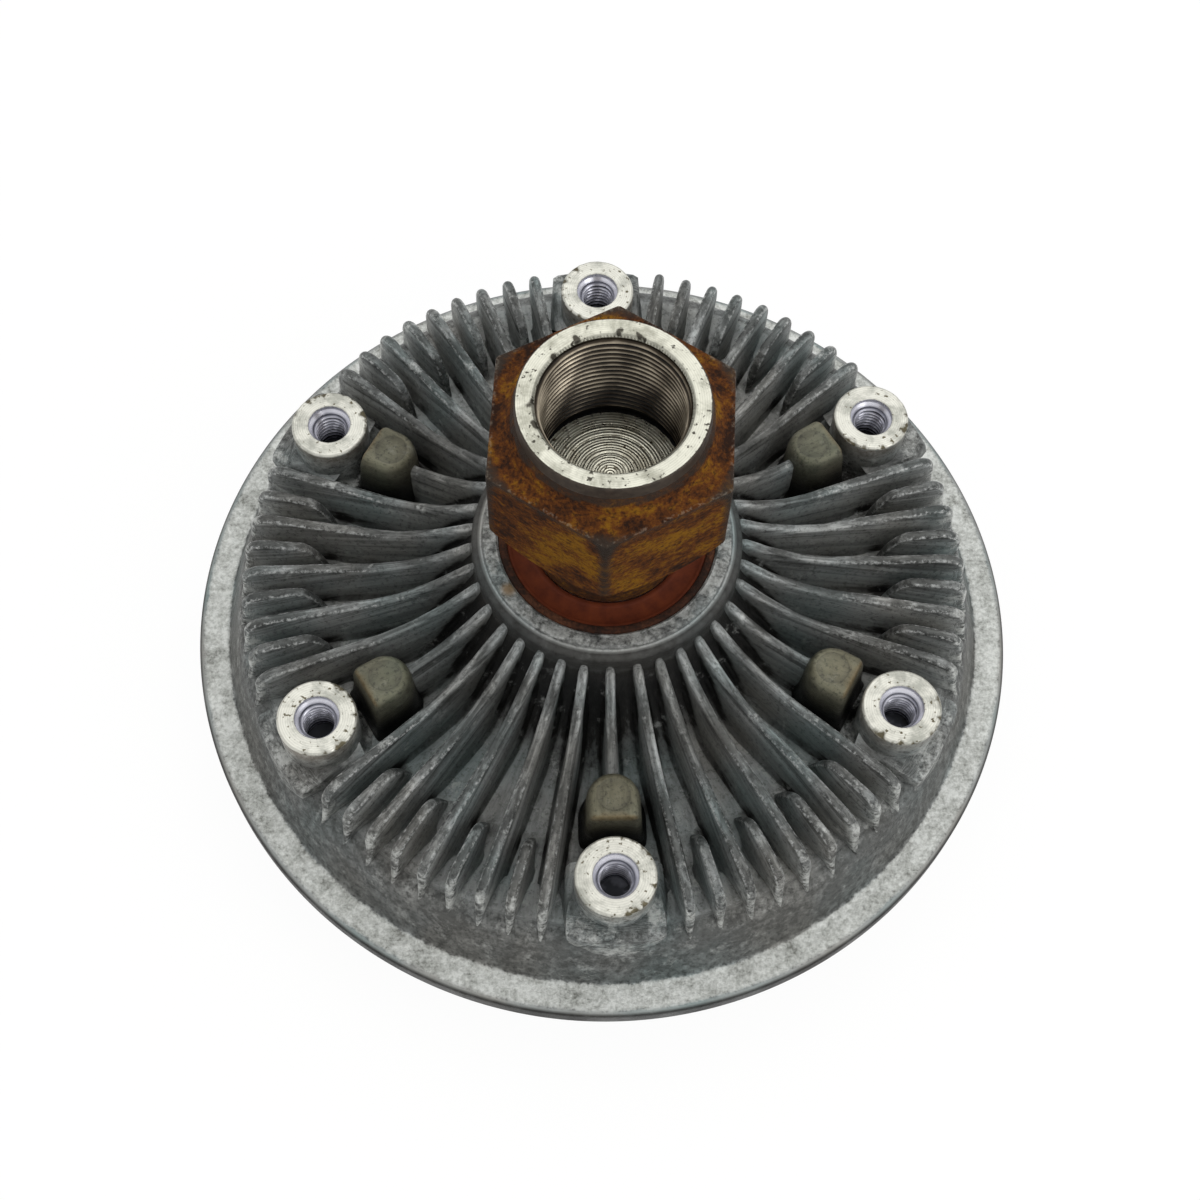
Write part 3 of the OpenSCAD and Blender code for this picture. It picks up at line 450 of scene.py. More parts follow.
# %% Wall profile
CAST, SKIM, TAPPED, PAD = range(4)
WALL_STEPS = 360
Z_BOSS, Z_CREST, Z_CHAMBER, Z_RIM, Z_JOINT, Z_LIP = 51.7, 50.7, 33.8, 23.0, 20.6, 16.1
Z_SEAT, Z_BEARING, Z_RING, Z_FIN_TOP, RING_R, RIM_R = 48.4, 64.4, 64.8, 60.8, 29.3, 94.45
stake_r, cone = np.linspace(24.0, 26.6, 8), np.linspace(1, 0, 12)
outer = np.concatenate([
    [(23.52, 64.2)], np.stack([stake_r, Z_RING - 0.18 * ease(stake_r, 25.5, 24.2)], 1),
    [(26.95, 64.6), (27.1, 64.1), (27.5, 63.9)], arc(27.6, 62.2, 1.7, 75, 5, 6), [(RING_R, 59.6)],
    np.stack([np.linspace(29.4, 42.5, 12), 40.7 + 17.4 * cone**1.2], 1),
    [(44.5, 39.2), (47.0, 38.5), (53.0, 38.4), (60.2, 38.35), (61.6, 38.75)],
    [(63.5, 38.75), (66.5, 38.75), (70.0, 38.75), (77.0, 38.6)],
    arc(77.75, 32.5, 6.2, 88, 30, 8), [(84.35, 31.7), (86.9, 24.2)],
    arc(88.3, 24.4, 1.4, 197, 268, 5), [(89.6, Z_RIM), (91.1, Z_RIM), (92.6, Z_RIM)],
    arc(93.15, 21.7, 1.3, 88, 0, 6), [(RIM_R, 19.8), (RIM_R, 18.3)], arc(92.25, 18.3, 2.2, -2, -88, 6),
])
inner = np.array([
    (87.75, Z_LIP), (87.75, 17.1), (90.25, 17.1), (90.25, Z_JOINT), (77.5, Z_JOINT), (77.5, Z_CHAMBER),
    (43.95, Z_CHAMBER), (23.5, 43.7), (20.5, 45.2), (20.5, Z_SEAT), (23.52, Z_SEAT),
])
wall = np.concatenate([outer, inner])
floor_line = outer[np.argsort(outer[:, 0], kind="stable")]


def floor_z(r):
    """Height of the wall's outer face at a radius."""
    return read(floor_line, r)


print("wall profile points:", len(wall))

# %% Wall surface
# Depth rises to 0.85 on the rim's outer side: painted shade on a face turned from the light.
depth_by_r = [
    (23, 0.1), (27, 0.08), (27.6, 0.84), (30, 0.83), (31.5, 0.71), (42, 0.62), (60, 0.5), (76, 0.5),
    (78, 0.4), (80, 0.03), (86, 0.0), (87.5, 0.1), (88.2, 0.3), (93, 0.3), (94.2, 0.85),
]
pale_by_r = [
    (24, 0.4), (26.6, 0.4), (27.1, 0.0), (72, 0.0), (80, 0.08), (86, 0.08), (87.2, 0.05), (88.2, 1.0),
    (92.8, 1.0), (93.3, 0.3), (93.8, 0.0),
]
calm_by_r = [
    (24, 0.2), (27, 0.4), (27.6, 1.0), (30.5, 1.0), (31.5, 0.0), (77, 0.0), (80, 0.55), (87, 0.55),
    (88, 0.0), (93.1, 0.0), (93.6, 1.0),
]
BAND_LOW, RUST_SPOT = 22.2, (-21.2, -12.9)
points, quads = lathe(wall, WALL_STEPS, wrap=True)
on_top = (np.arange(len(wall)) < len(outer)) & (wall[:, 1] >= BAND_LOW)
spot = np.hypot(*(points[:, :2] - RUST_SPOT).T)
housing = [(points, quads, CAST, {
    "depth": np.repeat(read(depth_by_r, wall[:, 0]), WALL_STEPS),
    "pale": np.repeat(np.where(on_top, read(pale_by_r, wall[:, 0]), 0.0), WALL_STEPS),
    "calm": np.repeat(read(calm_by_r, wall[:, 0]), WALL_STEPS),
    "stain": 0.8 * ease(spot, 2.2, 0.6),
})]
print("wall points:", len(points))

# %% [markdown]
# ## Fins
# Long fins run from the bearing ring to the shoulder, short ones fill the wide end of each valley, and a
# spoke runs to each pad. A fin is a thin drafted web between a crest, which is a path in the plane of the
# axis, and a root buried in the wall: its half thickness starts at zero, rounds over the crest, grows
# with the draft and flares at the floor. No two are alike on a casting, so each sways a little and its
# crest ripples.

# %% Fin surface
FIN_T, DRAFT, CREST_ROUND, FOOT_ROUND = 2.1, math.tan(math.radians(4.5)), 1.0, 1.4
LOW_FIN, TAPER_FROM, END_THIN = 5.0, 45.0, 0.45
one_side = np.array([0.006, 0.02, 0.045, 0.1, 0.25, 0.5, 0.72, 0.84, 0.92, 1.0])
across = np.concatenate([-one_side[::-1], [0.0], one_side])


def fin(path, root, thick=FIN_T, top_round=CREST_ROUND, foot=FOOT_ROUND, sway=0.0):
    """Point(s, v) = crest + |v| (root - crest), offset by sign(v) (t/2 + drop tan(draft)) k + flare, where
    k = sqrt(1 - (1 - h/R)^2) rounds the crest of radius R and the flare is a quarter circle at the floor."""
    r, z = (path[:, None, k] + (root - path)[:, None, k] * np.abs(across) for k in (0, 1))
    below = np.hypot(r - path[:, None, 0], z - path[:, None, 1])
    k = np.sqrt(1 - (1 - np.clip(below / top_round, 0, 1)) ** 2)
    height = np.clip((path[:, 1] - floor_z(path[:, 0]))[:, None] / LOW_FIN, 0, 1)
    taper = np.where(path[:, :1] < TAPER_FROM, 1.0, END_THIN + (1 - END_THIN) * height)
    half = (thick / 2 + np.maximum(0, np.minimum(Z_CREST - z, below)) * DRAFT) * k * taper
    gap = np.clip(foot - np.maximum(0, z - floor_z(r)), 0, foot * 0.98)
    flare = (foot - np.sqrt(foot**2 - gap**2)) * k * height
    half = half + flare * ease(path[:, :1], 81.0, 75.0) * ease(path[:, :1], 30.5, 35.0)
    bend = sway * np.sin(path[:, None, 0] * 0.16 + sway * 40)
    # The depth grows from the crest down to the root: painted shade between the fins.
    sunk = np.clip(below / np.maximum(np.hypot(*(path - root).T)[:, None], 4), 0, 1)
    return np.stack([r, np.sign(across) * half + bend, z], -1), (0.02 + 0.6 * sunk**0.7).ravel()


def root_of(path, low, high):
    """Root under a path: straight below it, but kept between two radii so that the ends fan out from one
    place. Below the chamber's roof it stays in the side wall."""
    r = np.where(path[:, 1] < 36.0, 79.0, np.clip(path[:, 0], low, high))
    return np.stack([r, np.minimum(floor_z(r) - 0.6, path[:, 1] - 0.5)], 1)


# %% Fins
FIRST_BOSS, SECTOR, FIN_PITCH, LEVEL_R = 90, 60, 9.5, 51.95
FIN_IN, ROOT_OUT, SHORT_ROOT, SHORT_FOOT, SPOKE_OUT = 28.6, 71.0, 69.0, 0.6, 54.0
boss_angles = [FIRST_BOSS + SECTOR * boss for boss in range(6)]


def crest_z(r):
    """Crest height: level outside, rising to the bearing ring as the 1.8th power inside."""
    rise = np.clip((LEVEL_R - r) / (LEVEL_R - RING_R), 0, None) ** 1.8
    return Z_CREST + (Z_FIN_TOP - Z_CREST) * rise


slope_r = np.concatenate([np.linspace(FIN_IN, 52, 14), np.linspace(56, 74, 6)])
slope = np.stack([slope_r, crest_z(np.maximum(slope_r, RING_R))], 1)
fin_end = [arc(76.0, 45.7, 5.0, 86, 4, 9), [(81.4, 42.0), (82.2, 38.5), (83.1, 35.0), (84.0, 31.2)]]
long_path = np.concatenate([slope, *fin_end])
lift = np.linspace(0, 1, 9)
nose = np.stack([61.5 + 7.5 * lift, Z_CREST - 13.0 * (1 - lift) ** 2.2], 1)
short_path = np.concatenate([nose, [(71.5, Z_CREST), (74.5, Z_CREST)], *fin_end])
spoke_path = np.concatenate([slope[:14], [(SPOKE_OUT, Z_CREST), (55.5, Z_CREST - 2.0)]])
# Crest edges lighter across the fin: wear, and also a painted highlight.
worn_and_highlit_across = [(0, 0.55), (0.006, 0.65), (0.02, 0.85), (0.045, 1.0), (0.1, 0.4), (0.25, 0)]


def fin_at(path, low, high, degrees, foot=FOOT_ROUND):
    """One fin turned to its place, with a small sway and a crest that is never quite straight."""
    ripple = 0.1 * np.sin(path[:, 0] * 0.35 + degrees) + 0.07 * np.sin(path[:, 0] * 0.9 + 2 * degrees)
    bent = path + np.stack([0 * ripple, ripple - 0.1], 1)
    points, depth = fin(bent, root_of(path, low, high), foot=foot, sway=chance.uniform(-0.15, 0.15))
    flat, quads = grid(points)
    # The rubbed crest edges also carry a painted highlight, stronger further out.
    worn_and_highlit = np.tile(read(worn_and_highlit_across, np.abs(across)), len(path)) * (0.3 + 0.7 * ease(flat[:, 0], 36, 56))
    values = {"depth": depth, "pale": 0.34 * ease(flat[:, 0], 75, 82), "worn_and_highlit": worn_and_highlit}
    return turned(flat, degrees), quads, CAST, values


for at in boss_angles:
    middle = at + SECTOR / 2
    for k in (-2, -1, 0, 1, 2):
        housing.append(fin_at(long_path, FIN_IN, ROOT_OUT, middle + FIN_PITCH * k))
    for k in (-1.5, -0.5, 0.5, 1.5):
        housing.append(fin_at(short_path, SHORT_ROOT, ROOT_OUT, middle + FIN_PITCH * k, SHORT_FOOT))
    housing.append(fin_at(spoke_path, FIN_IN, SPOKE_OUT, at))
print("fins:", len(housing) - 1)

# %% [markdown]
# ## Bosses and pedestals
# A boss is a lathe shape about its own axis: flared foot, side, skimmed face, smooth mouth, then the thread.
# The thread is a wall whose radius is a wave of the phase z / pitch + angle / turn, which makes a true helix.
# The face's edge is chipped by a few sine waves of random phase. The pedestal behind it is a thick fin, and
# its quads inside the boss are left out.


# %% Thread and chips
def threaded_wall(radius, height, pitch, z_top, z_low, steps, per_pitch=10):
    """Cylinder grid of radius r - height * ridge, where the ridge is a clipped triangle wave of the helix's
    phase, and the depth of each point."""
    z = np.linspace(z_top, z_low, int((z_top - z_low) / pitch * per_pitch) + 1)[:, None]
    turn = full_turn(steps)
    phase = (z_top - z) / pitch - turn / (2 * np.pi)
    ridge = np.clip(1.25 * (1 - np.abs(2 * (phase % 1) - 1)) - 0.1, 0, 1)
    begin = np.clip((z_top - z) / pitch, 0, 1)
    r = radius - height * ridge * begin
    deep = (1 - ridge) * begin + 0.3 * (1 - begin)
    return np.stack([r * np.cos(turn), r * np.sin(turn), z + 0 * turn], -1), deep.ravel()


def ragged(steps, strength):
    """Chips round an edge: the part above zero of four sine waves of random phase, gathered on one side."""
    turn = full_turn(steps)
    waves = sum(np.sin(k * turn + chance.uniform(0, 6.3)) for k in (3, 7, 13, 23))
    side = np.clip(0.45 + np.sin(turn + chance.uniform(0, 6.3)), 0, 1)
    return strength * np.clip(waves / 2.2, 0, 1.3) * side


BOSS_STEPS, TAP_STEPS, TAP_ROWS, BOSS_R, BOSS_PLACE, CHIP = 96, 48, 8, 8.6, 72.0, 0.8
TAP_R, TAP_HEIGHT, TAP_PITCH, Z_TAP, Z_TAP_LOW = 4.0, 0.65, 1.25, 49.7, 39.6
boss_foot = arc(11.0, 41.1, 2.4, 262, 182, 6)
boss_top = [(BOSS_R, 46.0), (BOSS_R - 0.02, 50.3), (BOSS_R, 51.1)]
boss_side = np.concatenate([[(11.2, 38.0)], boss_foot, boss_top])
boss_mouth = np.array([(4.8, 51.55), (4.78, 50.5), (4.4, 50.1), (4.02, Z_TAP)])
boss_floor = np.array([(TAP_R, Z_TAP_LOW), (2.0, 39.2), (0.0, 38.9)])
# Radius, height, how far the chips move it, and dirt, from the edge of the face to its mouth.
face_rows = np.array([
    (BOSS_R, 51.1, 0.0, 0.7), (8.5, 51.45, 0.35, 0.6), (8.25, 51.68, 0.8, 0.4), (8.05, Z_BOSS, 1.0, 0.3),
    (7.5, Z_BOSS, 0.5, 0.18), (6.9, Z_BOSS, 0, 0), (6.0, Z_BOSS, 0, 0), (5.2, Z_BOSS, 0, 0),
    (4.95, Z_BOSS, 0, 0.05), (4.8, 51.55, 0, 0.1),
])
print("boss profile points:", len(boss_side) + len(face_rows) + len(boss_mouth) + len(boss_floor))

# %% Bosses with tapped holes
turn = full_turn(BOSS_STEPS)
edge_r, edge_z, give, dirt = (face_rows[:, k : k + 1] for k in range(4))
soot = np.repeat(read([(38, 0.55), (41, 0.4), (47, 0.3), (51.1, 0.4)], boss_side[:, 1]), BOSS_STEPS)
for at in boss_angles:
    place = turned(np.array([[BOSS_PLACE, 0, 0]]), at)[0]
    points, quads = lathe(boss_side, BOSS_STEPS, place[:2])
    rim_stain = 0.3 * ease(points[:, 2], 48.5, 51.0)
    housing.append((points, quads[:, ::-1], CAST, {"depth": soot, "pale": 0.25, "stain": rim_stain}))
    chips = ragged(BOSS_STEPS, CHIP)
    face_r, face_z = edge_r - give * chips, edge_z - give * (1 - give) * chips
    face = np.stack([place[0] + face_r * np.cos(turn), place[1] + face_r * np.sin(turn), face_z], -1)
    points, quads = grid(face, False, True)
    soil = dirt * (0.45 + chips)
    housing.append((points, quads[:, ::-1], SKIM, {"ring": face_r.ravel(), "depth": soil.ravel()}))
    points, quads = lathe(boss_mouth, BOSS_STEPS, place[:2])
    soil = np.repeat([0.1, 0.12, 0.05, 0.3], BOSS_STEPS)
    housing.append((points, quads[:, ::-1], TAPPED, {"depth": soil}))
    helix, deep = threaded_wall(TAP_R, TAP_HEIGHT, TAP_PITCH, Z_TAP, Z_TAP_LOW, TAP_STEPS, TAP_ROWS)
    points, quads = grid(helix, False, True)
    # Darker down the hole towards its bottom: painted shade.
    deep = np.clip(0.85 * deep + 0.4 * ease(points[:, 2], 43, Z_TAP_LOW), 0, 1)
    housing.append((points + place, quads[:, ::-1], TAPPED, {"depth": deep}))
    # The hole's bottom is painted dark as shade.
    points, quads = lathe(boss_floor, TAP_STEPS, place[:2])
    housing.append((points, quads[:, ::-1], TAPPED, {"depth": 0.65}))
print("surfaces with bosses:", len(housing))

# %% Pedestals
PEDESTAL_T, PEDESTAL_ROUND, PEDESTAL_FOOT = 20.6, 1.1, 1.8
pedestal = np.concatenate([
    [(66.0, 43.5), (70.0, 43.7), (74.0, 43.7), (78.0, 43.7), (81.5, 43.7)],
    arc(82.1, 42.3, 1.4, 90, 12, 6), [(83.55, 38.7), (83.8, 35.0), (84.1, 31.2)],
])
root = root_of(pedestal, 70.0, ROOT_OUT)
points, deep = fin(pedestal, root, thick=PEDESTAL_T, top_round=PEDESTAL_ROUND, foot=PEDESTAL_FOOT)
points, quads = grid(points)
in_boss = np.hypot(points[quads, 0] - BOSS_PLACE, points[quads, 1]) < BOSS_R - 0.1
quads = quads[~np.all(in_boss, axis=1)]
# Like a fin, the pedestal darkens down its sides with painted shade.
values = {"depth": 0.06 + 0.25 * deep, "calm": 0.3, "pale": 0.25 * ease(points[:, 0], 74, 80)}
housing += [(turned(points, at), quads, CAST, dict(values)) for at in boss_angles]
print("pedestal points:", len(points))

# %% [markdown]
# ## Ejector pads
# Pins pushed the hot casting out of its die at six thick pads between the hub and the bosses. A pad is
# D-shaped, dusty, and has the shallow round mark of the pin on top. Rows of one outline, moved in as they
# climb, round its top, and rings close it. Each pad leans a little.


# %% Pads
def pad_outline(inset):
    """D-shaped outline, moved in by inset: a half circle towards the hub, two rounded corners at the boss."""
    half, flat_x, corner = 5.4 - inset, 5.0 - inset * np.where(inset > 0, 0.4, 1.0), 1.3
    low = np.stack([np.linspace(0.6, flat_x - corner, 6), np.full(6, -half)], 1)
    face = np.stack([np.full(6, flat_x), np.linspace(corner - half, half - corner, 6)], 1)
    return np.concatenate([
        arc(0, 0, half, 90, 270, 28), low, arc(flat_x - corner, corner - half, corner, -80, -10, 4), face,
        arc(flat_x - corner, half - corner, corner, 10, 80, 4), low[::-1] * [1, -1],
    ])


PAD_PLACE, PAD_SINK, PAD_LEAN, MARK_X = 55.5, 0.12, 0.02, -0.2
# Inset, height and darkness of the outline's rows, darker towards the foot as dust and oil and as painted
# shade, then radius, height and dirt of the mark's rings.
pad_rows = [
    (-2.2, 37.8, 1.0), (-1.5, 39.3, 0.95), (-1.0, 42.0, 0.75), (-0.6, 46.0, 0.5), (-0.3, 51.0, 0.35),
    (-0.05, 52.3, 0.3), (0.25, 53.15, 0.2), (0.65, 53.75, 0.12), (1.1, 54.08, 0.1), (1.5, 54.2, 0.15),
]
mark_rows = [
    (3.65, 54.2, 0.2), (3.5, 54.12, 0.32), (3.3, 54.08, 0.28), (2.5, 54.1, 0.2), (1.3, 54.15, 0.15),
    (0.0, 54.15, 0.15),
]
count = len(pad_outline(0))
spin = np.radians(np.linspace(90, 450, count, endpoint=False))
circle = np.stack([np.cos(spin), np.sin(spin)], 1)
rows = [np.column_stack([pad_outline(inset), np.full(count, z)]) for inset, z, _ in pad_rows]
rows += [np.column_stack([radius * circle + [MARK_X, 0], np.full(count, z)]) for radius, z, _ in mark_rows]
pad = np.stack(rows)
pad_depth = np.repeat([dirt for _, _, dirt in pad_rows + mark_rows], count)
for at in boss_angles:
    lean = chance.normal(0, PAD_LEAN, 2)
    tilt = (pad[..., :2] @ lean - PAD_SINK) * (pad[..., 2] > 50)
    points, quads = grid(pad + np.stack([0 * tilt, 0 * tilt, tilt], -1) + [PAD_PLACE, 0, 0], False, True)
    ledge = 0.3 * ease(points[:, 0], 59.6, 60.1) * ease(points[:, 2], 52.4, 53.2)
    housing.append((turned(points, at), quads[:, ::-1], PAD, {"depth": pad_depth, "stain": ledge}))
print("surfaces with pads:", len(housing))

# %% [markdown]
# ## Oil, darkening and painted shade
# Grease thrown out of the hub collects between each boss and its pad, and the narrow ends of the valleys
# near the hub are darker near the floor. Painted shade, with some dirt, darkens the feet of the fins, and a
# painted shadow lies on the floor under the noses of the short ones. All are smooth functions of place, added
# to the depth attribute of the casting's surfaces, so the darkening runs on from one surface to the next.

# %% Oil, darkening and painted shade by place
OIL_WIDTH, OIL_GAIN, NARROW_END_GAIN, FOOT_SHADE_GAIN, NOSE_SHADOW_GAIN = 8.0, 0.45, 0.26, 0.22, 0.2
HALF_SECTOR, HALF_PITCH, FAN_HALF = SECTOR / 2, FIN_PITCH / 2, 2.5 * FIN_PITCH
for points, _, number, values in housing:
    if number in (CAST, PAD):
        r, z = np.hypot(points[:, 0], points[:, 1]), points[:, 2]
        angle = np.degrees(np.arctan2(points[:, 1], points[:, 0]))
        above = z - floor_z(r)
        beside = np.radians(angle % SECTOR - HALF_SECTOR) * r
        oil = np.exp(-((beside / OIL_WIDTH) ** 2)) * ease(r, 46, 53) * ease(r, 74, 66) * ease(z, 52.0, 44.0)
        # Narrow inner ends of the valleys, darker near the floor.
        narrow_end_dark = ease(r, 47, 34) * ease(r, 29.2, 31.5) * ease(above, 9.0, 1.0)
        off = (angle + HALF_SECTOR) % SECTOR - HALF_SECTOR
        from_fin = np.abs((off + HALF_PITCH) % FIN_PITCH - HALF_PITCH)
        from_fin = np.where(np.abs(off) < FAN_HALF, from_fin, HALF_SECTOR - np.abs(off))
        # Painted shade, with some dirt, in the crease at each fin's foot.
        foot = ease(np.radians(from_fin) * r, 3.4, 1.6) * ease(r, 30, 36) * ease(r, 78, 68)
        # A painted shadow on the floor under the short fins' noses.
        nose_shadow = ease(r, 60.5, 61.5) * ease(r, 66.5, 63.5) * ease(np.abs(off), 22, 20)
        low = ease(above, 3.0, 0.5)
        oil_dark_and_shade = OIL_GAIN * oil + NARROW_END_GAIN * narrow_end_dark + (FOOT_SHADE_GAIN * foot + NOSE_SHADOW_GAIN * nose_shadow) * low
        values["depth"] = np.clip(values["depth"] + oil_dark_and_shade, 0, 1)
finishes = [housing_cast, boss_face, tapped, pad_cast]
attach(piece("housing_casting", housing, finishes, "housing"), "clutch_case")

# %% [markdown]
# ## The hub
# The hub is one forging: a hexagon, a flare up to a round collar, a fine-threaded socket with a turned
# floor, and a neck down to the bearing. For each angle the hexagon's radius is half its width over the
# cosine of the angle from the nearest flat, and a cone cuts the foot at that radius, so each flat ends in
# a curve. Rust is full on the flats, rubbed off along the top edge and the corners, and powdery low on
# the flats and in the hollow round the collar.

# %% Hexagon
RUST, TURNED, THREAD, SIDE, FLOOR = range(5)
HEX_HALF, HEX_CORNER, HEX_TURN, BEVEL, Z_HEX, Z_HEX_TOP = 23.5, 26.95, 25.6, 0.4, 86.0, 110.9
COLLAR_R, FLARE, FLARE_R, NECK_R, FOOT_IN, TUCK = 18.85, 4.2, 23.1, 16.3, 0.6, 0.3
TOP_ROWS, FLAT_ROWS = 14, 24
off_flat = 30 * np.sin(np.linspace(-np.pi / 2, np.pi / 2, 33)[:-1])
hex_angle = np.radians((HEX_TURN + 30 + 60 * np.arange(6)[:, None] + off_flat).ravel())
hex_radius = np.tile(np.minimum(HEX_HALF / np.cos(np.radians(off_flat)), HEX_CORNER), 6)
foot_z, foot_r = Z_HEX + hex_radius - HEX_HALF, HEX_HALF - FOOT_IN


def flare_z(r):
    """Height of the forging between hexagon and collar: flat outside, rising as the power 2.2 inside."""
    return Z_HEX_TOP + FLARE * np.clip((FLARE_R - r) / (FLARE_R - COLLAR_R), 0, 1) ** 2.2


edge_z, start_r = Z_HEX_TOP - BEVEL, COLLAR_R - TUCK
top_r = [start_r + (hex_radius - BEVEL - start_r) * u for u in np.linspace(0, 1, TOP_ROWS) ** 1.3]
rows = [(r, flare_z(r)) for r in top_r] + [(hex_radius - 0.1, Z_HEX_TOP - 0.1), (hex_radius, edge_z)]
rows += [(hex_radius, edge_z + (foot_z + BEVEL - edge_z) * u) for u in np.linspace(0.03, 1, FLAT_ROWS)]
foot_rows = [
    (hex_radius - 0.25, foot_z), ((hex_radius + foot_r) / 2, (foot_z + Z_HEX) / 2), (foot_r, Z_HEX),
    (20.0, Z_HEX), (NECK_R - BEVEL, Z_HEX),
]
rows += foot_rows
hex_r, hex_z = (np.stack([row[k] + 0 * hex_radius for row in rows]) for k in (0, 1))
nut = np.stack([hex_r * np.cos(hex_angle), hex_r * np.sin(hex_angle), hex_z], -1)
points, quads = grid(nut, False, True)
print("hexagon points:", len(points))

# %% Rust on the hexagon
level, foot_level = np.arange(len(rows))[:, None], len(rows) - len(foot_rows) + 1
on_flat = (level > TOP_ROWS) & (level < foot_level)
from_corner = (30 - np.abs(np.tile(off_flat, 6))) * 0.47
corner = np.exp(-((from_corner / 1.8) ** 2))
flat_rust = 1 - 0.8 * np.exp(-(Z_HEX_TOP - hex_z) / 2.4) - 0.7 * corner
rust = np.where(on_flat, flat_rust, 1 - 0.8 * ease(hex_r, 22.6, 25.9))
bare = ((level < TOP_ROWS) & (hex_r < COLLAR_R + 0.9)) | (level > foot_level)
rust = np.where(bare, 0.3, rust)
nick = 0.3 * ((level == TOP_ROWS) | (level == TOP_ROWS - 1)) + 0 * hex_r
hollow = np.exp(-(((hex_r - 20.6) / 0.9) ** 2))
powder = np.where(on_flat, 0.55 * ease(Z_HEX_TOP - hex_z, 3, 7), 0.6 * hollow)
values = {"depth": np.clip(rust, 0, 1).ravel(), "pale": nick.ravel(), "stain": powder.ravel()}
hub = [(points, quads, RUST, values)]
print("share of full rust:", round(float((rust > 0.9).mean()), 2))

# %% [markdown]
# ## Collar, socket and neck
# The collar was turned bright on its face, which is pitted on one side, and its edge is dark. The
# socket's thread is the helix of the bosses, only finer, and its floor has a low step and a dozen grooves
# where the tool dwelt. All are lathe shapes round one axis.

# %% Collar
FACE_STEPS, Z_HUB, Z_THREAD, PITS, PIT_GAIN = 288, 118.4, 117.6, 16, 0.55
collar_side = np.array([
    (18.4, 114.7), (18.95, 115.1), (COLLAR_R, 115.6), (COLLAR_R, 117.7), (18.8, 118.15), (18.55, Z_HUB),
])
collar_face = np.array([
    (18.55, Z_HUB), (18.3, Z_HUB), (17.9, Z_HUB), (17.5, Z_HUB), (17.1, Z_HUB), (16.7, Z_HUB), (16.3, Z_HUB),
    (15.9, 118.39), (15.6, 118.34), (15.35, 118.1), (15.0, Z_THREAD),
])
side_soil = [0.9, 0.7, 0.5, 0.45, 0.4, 0.2]
face_soil = [0.45, 0.2, 0.08, 0.0, 0.0, 0.05, 0.05, 0.1, 0.2, 0.2, 0.25]
pit_angle = np.radians(chance.uniform(60, 215, PITS))
pit_places = chance.uniform(15.2, 16.9, PITS)[:, None] * np.stack([np.cos(pit_angle), np.sin(pit_angle)], 1)
pit_sizes = chance.uniform(0.25, 0.75, PITS)
for profile, number, soil in ((collar_side, SIDE, side_soil), (collar_face, TURNED, face_soil)):
    points, quads = lathe(profile, FACE_STEPS)
    away = np.linalg.norm(points[:, None, :2] - pit_places, axis=2)
    pits = np.exp(-((away / pit_sizes) ** 2)).sum(1)
    soil = np.repeat(soil, FACE_STEPS) + PIT_GAIN * pits
    ring = np.repeat(profile[:, 0], FACE_STEPS)
    hub.append((points, quads[:, ::-1], number, {"depth": soil, "ring": ring}))
print("most dirt on the collar's face:", round(float(soil.max()), 2))

# %% Socket and neck
SOCKET_STEPS, FLOOR_STEPS, THREAD_R, THREAD_HEIGHT, THREAD_PITCH = 144, 96, 15.0, 0.85, 1.5
Z_THREAD_LOW, Z_SOCKET, FLOOR_R, JOURNAL_R, SEAT_R, Z_HUB_LOW = 93.2, 90.6, 14.6, 12.48, 10.0, 22.75
DARK_SIDE, GROOVES, GROOVE_WIDTH, GROOVE_DEPTH, STEP = np.radians(45), 12, 0.13, 0.05, 0.12
helix, deep = threaded_wall(THREAD_R, THREAD_HEIGHT, THREAD_PITCH, Z_THREAD, Z_THREAD_LOW, SOCKET_STEPS)
points, quads = grid(helix, False, True)
# Darker on one side, and towards the socket's bottom as painted shade.
one_side_dark = 0.05 * (1 + np.cos(np.arctan2(points[:, 1], points[:, 0]) - DARK_SIDE))
deep = np.clip(0.85 * deep + 0.2 * ease(points[:, 2], 104, 95) + one_side_dark, 0, 1)
hub.append((points, quads[:, ::-1], THREAD, {"depth": deep}))
# The undercut below the thread is painted black as shade.
relief = [(THREAD_R, Z_THREAD_LOW), (15.3, 93.1), (15.3, 91.2), (THREAD_R, 90.7), (FLOOR_R, Z_SOCKET)]
points, quads = lathe(relief, SOCKET_STEPS)
hub.append((points, quads[:, ::-1], THREAD, {"depth": 1.0}))
floor_r = np.linspace(FLOOR_R, 0, 150)
groove_r = chance.uniform(1.5, 14.0, GROOVES)
groove = np.exp(-(((floor_r[:, None] - groove_r) / GROOVE_WIDTH) ** 2)).sum(1)
floor_height = Z_SOCKET + STEP * ease(floor_r, 5.2, 4.6) - GROOVE_DEPTH * groove
points, quads = lathe(np.stack([floor_r, floor_height], 1), FLOOR_STEPS)
soil = np.repeat(0.1 + 0.3 * np.clip(groove, 0, 1), FLOOR_STEPS)
hub.append((points, quads[:, ::-1], FLOOR, {"depth": soil, "ring": np.repeat(floor_r, FLOOR_STEPS)}))
neck = np.array([
    (NECK_R, Z_HEX + 0.3), (NECK_R, 76.0), (NECK_R, 65.3), (NECK_R - 0.3, 64.45), (JOURNAL_R, Z_BEARING),
    (JOURNAL_R, Z_SEAT), (SEAT_R, Z_SEAT), (SEAT_R, 23.35), (9.4, Z_HUB_LOW), (0.0, Z_HUB_LOW),
])
points, quads = lathe(neck, SOCKET_STEPS)
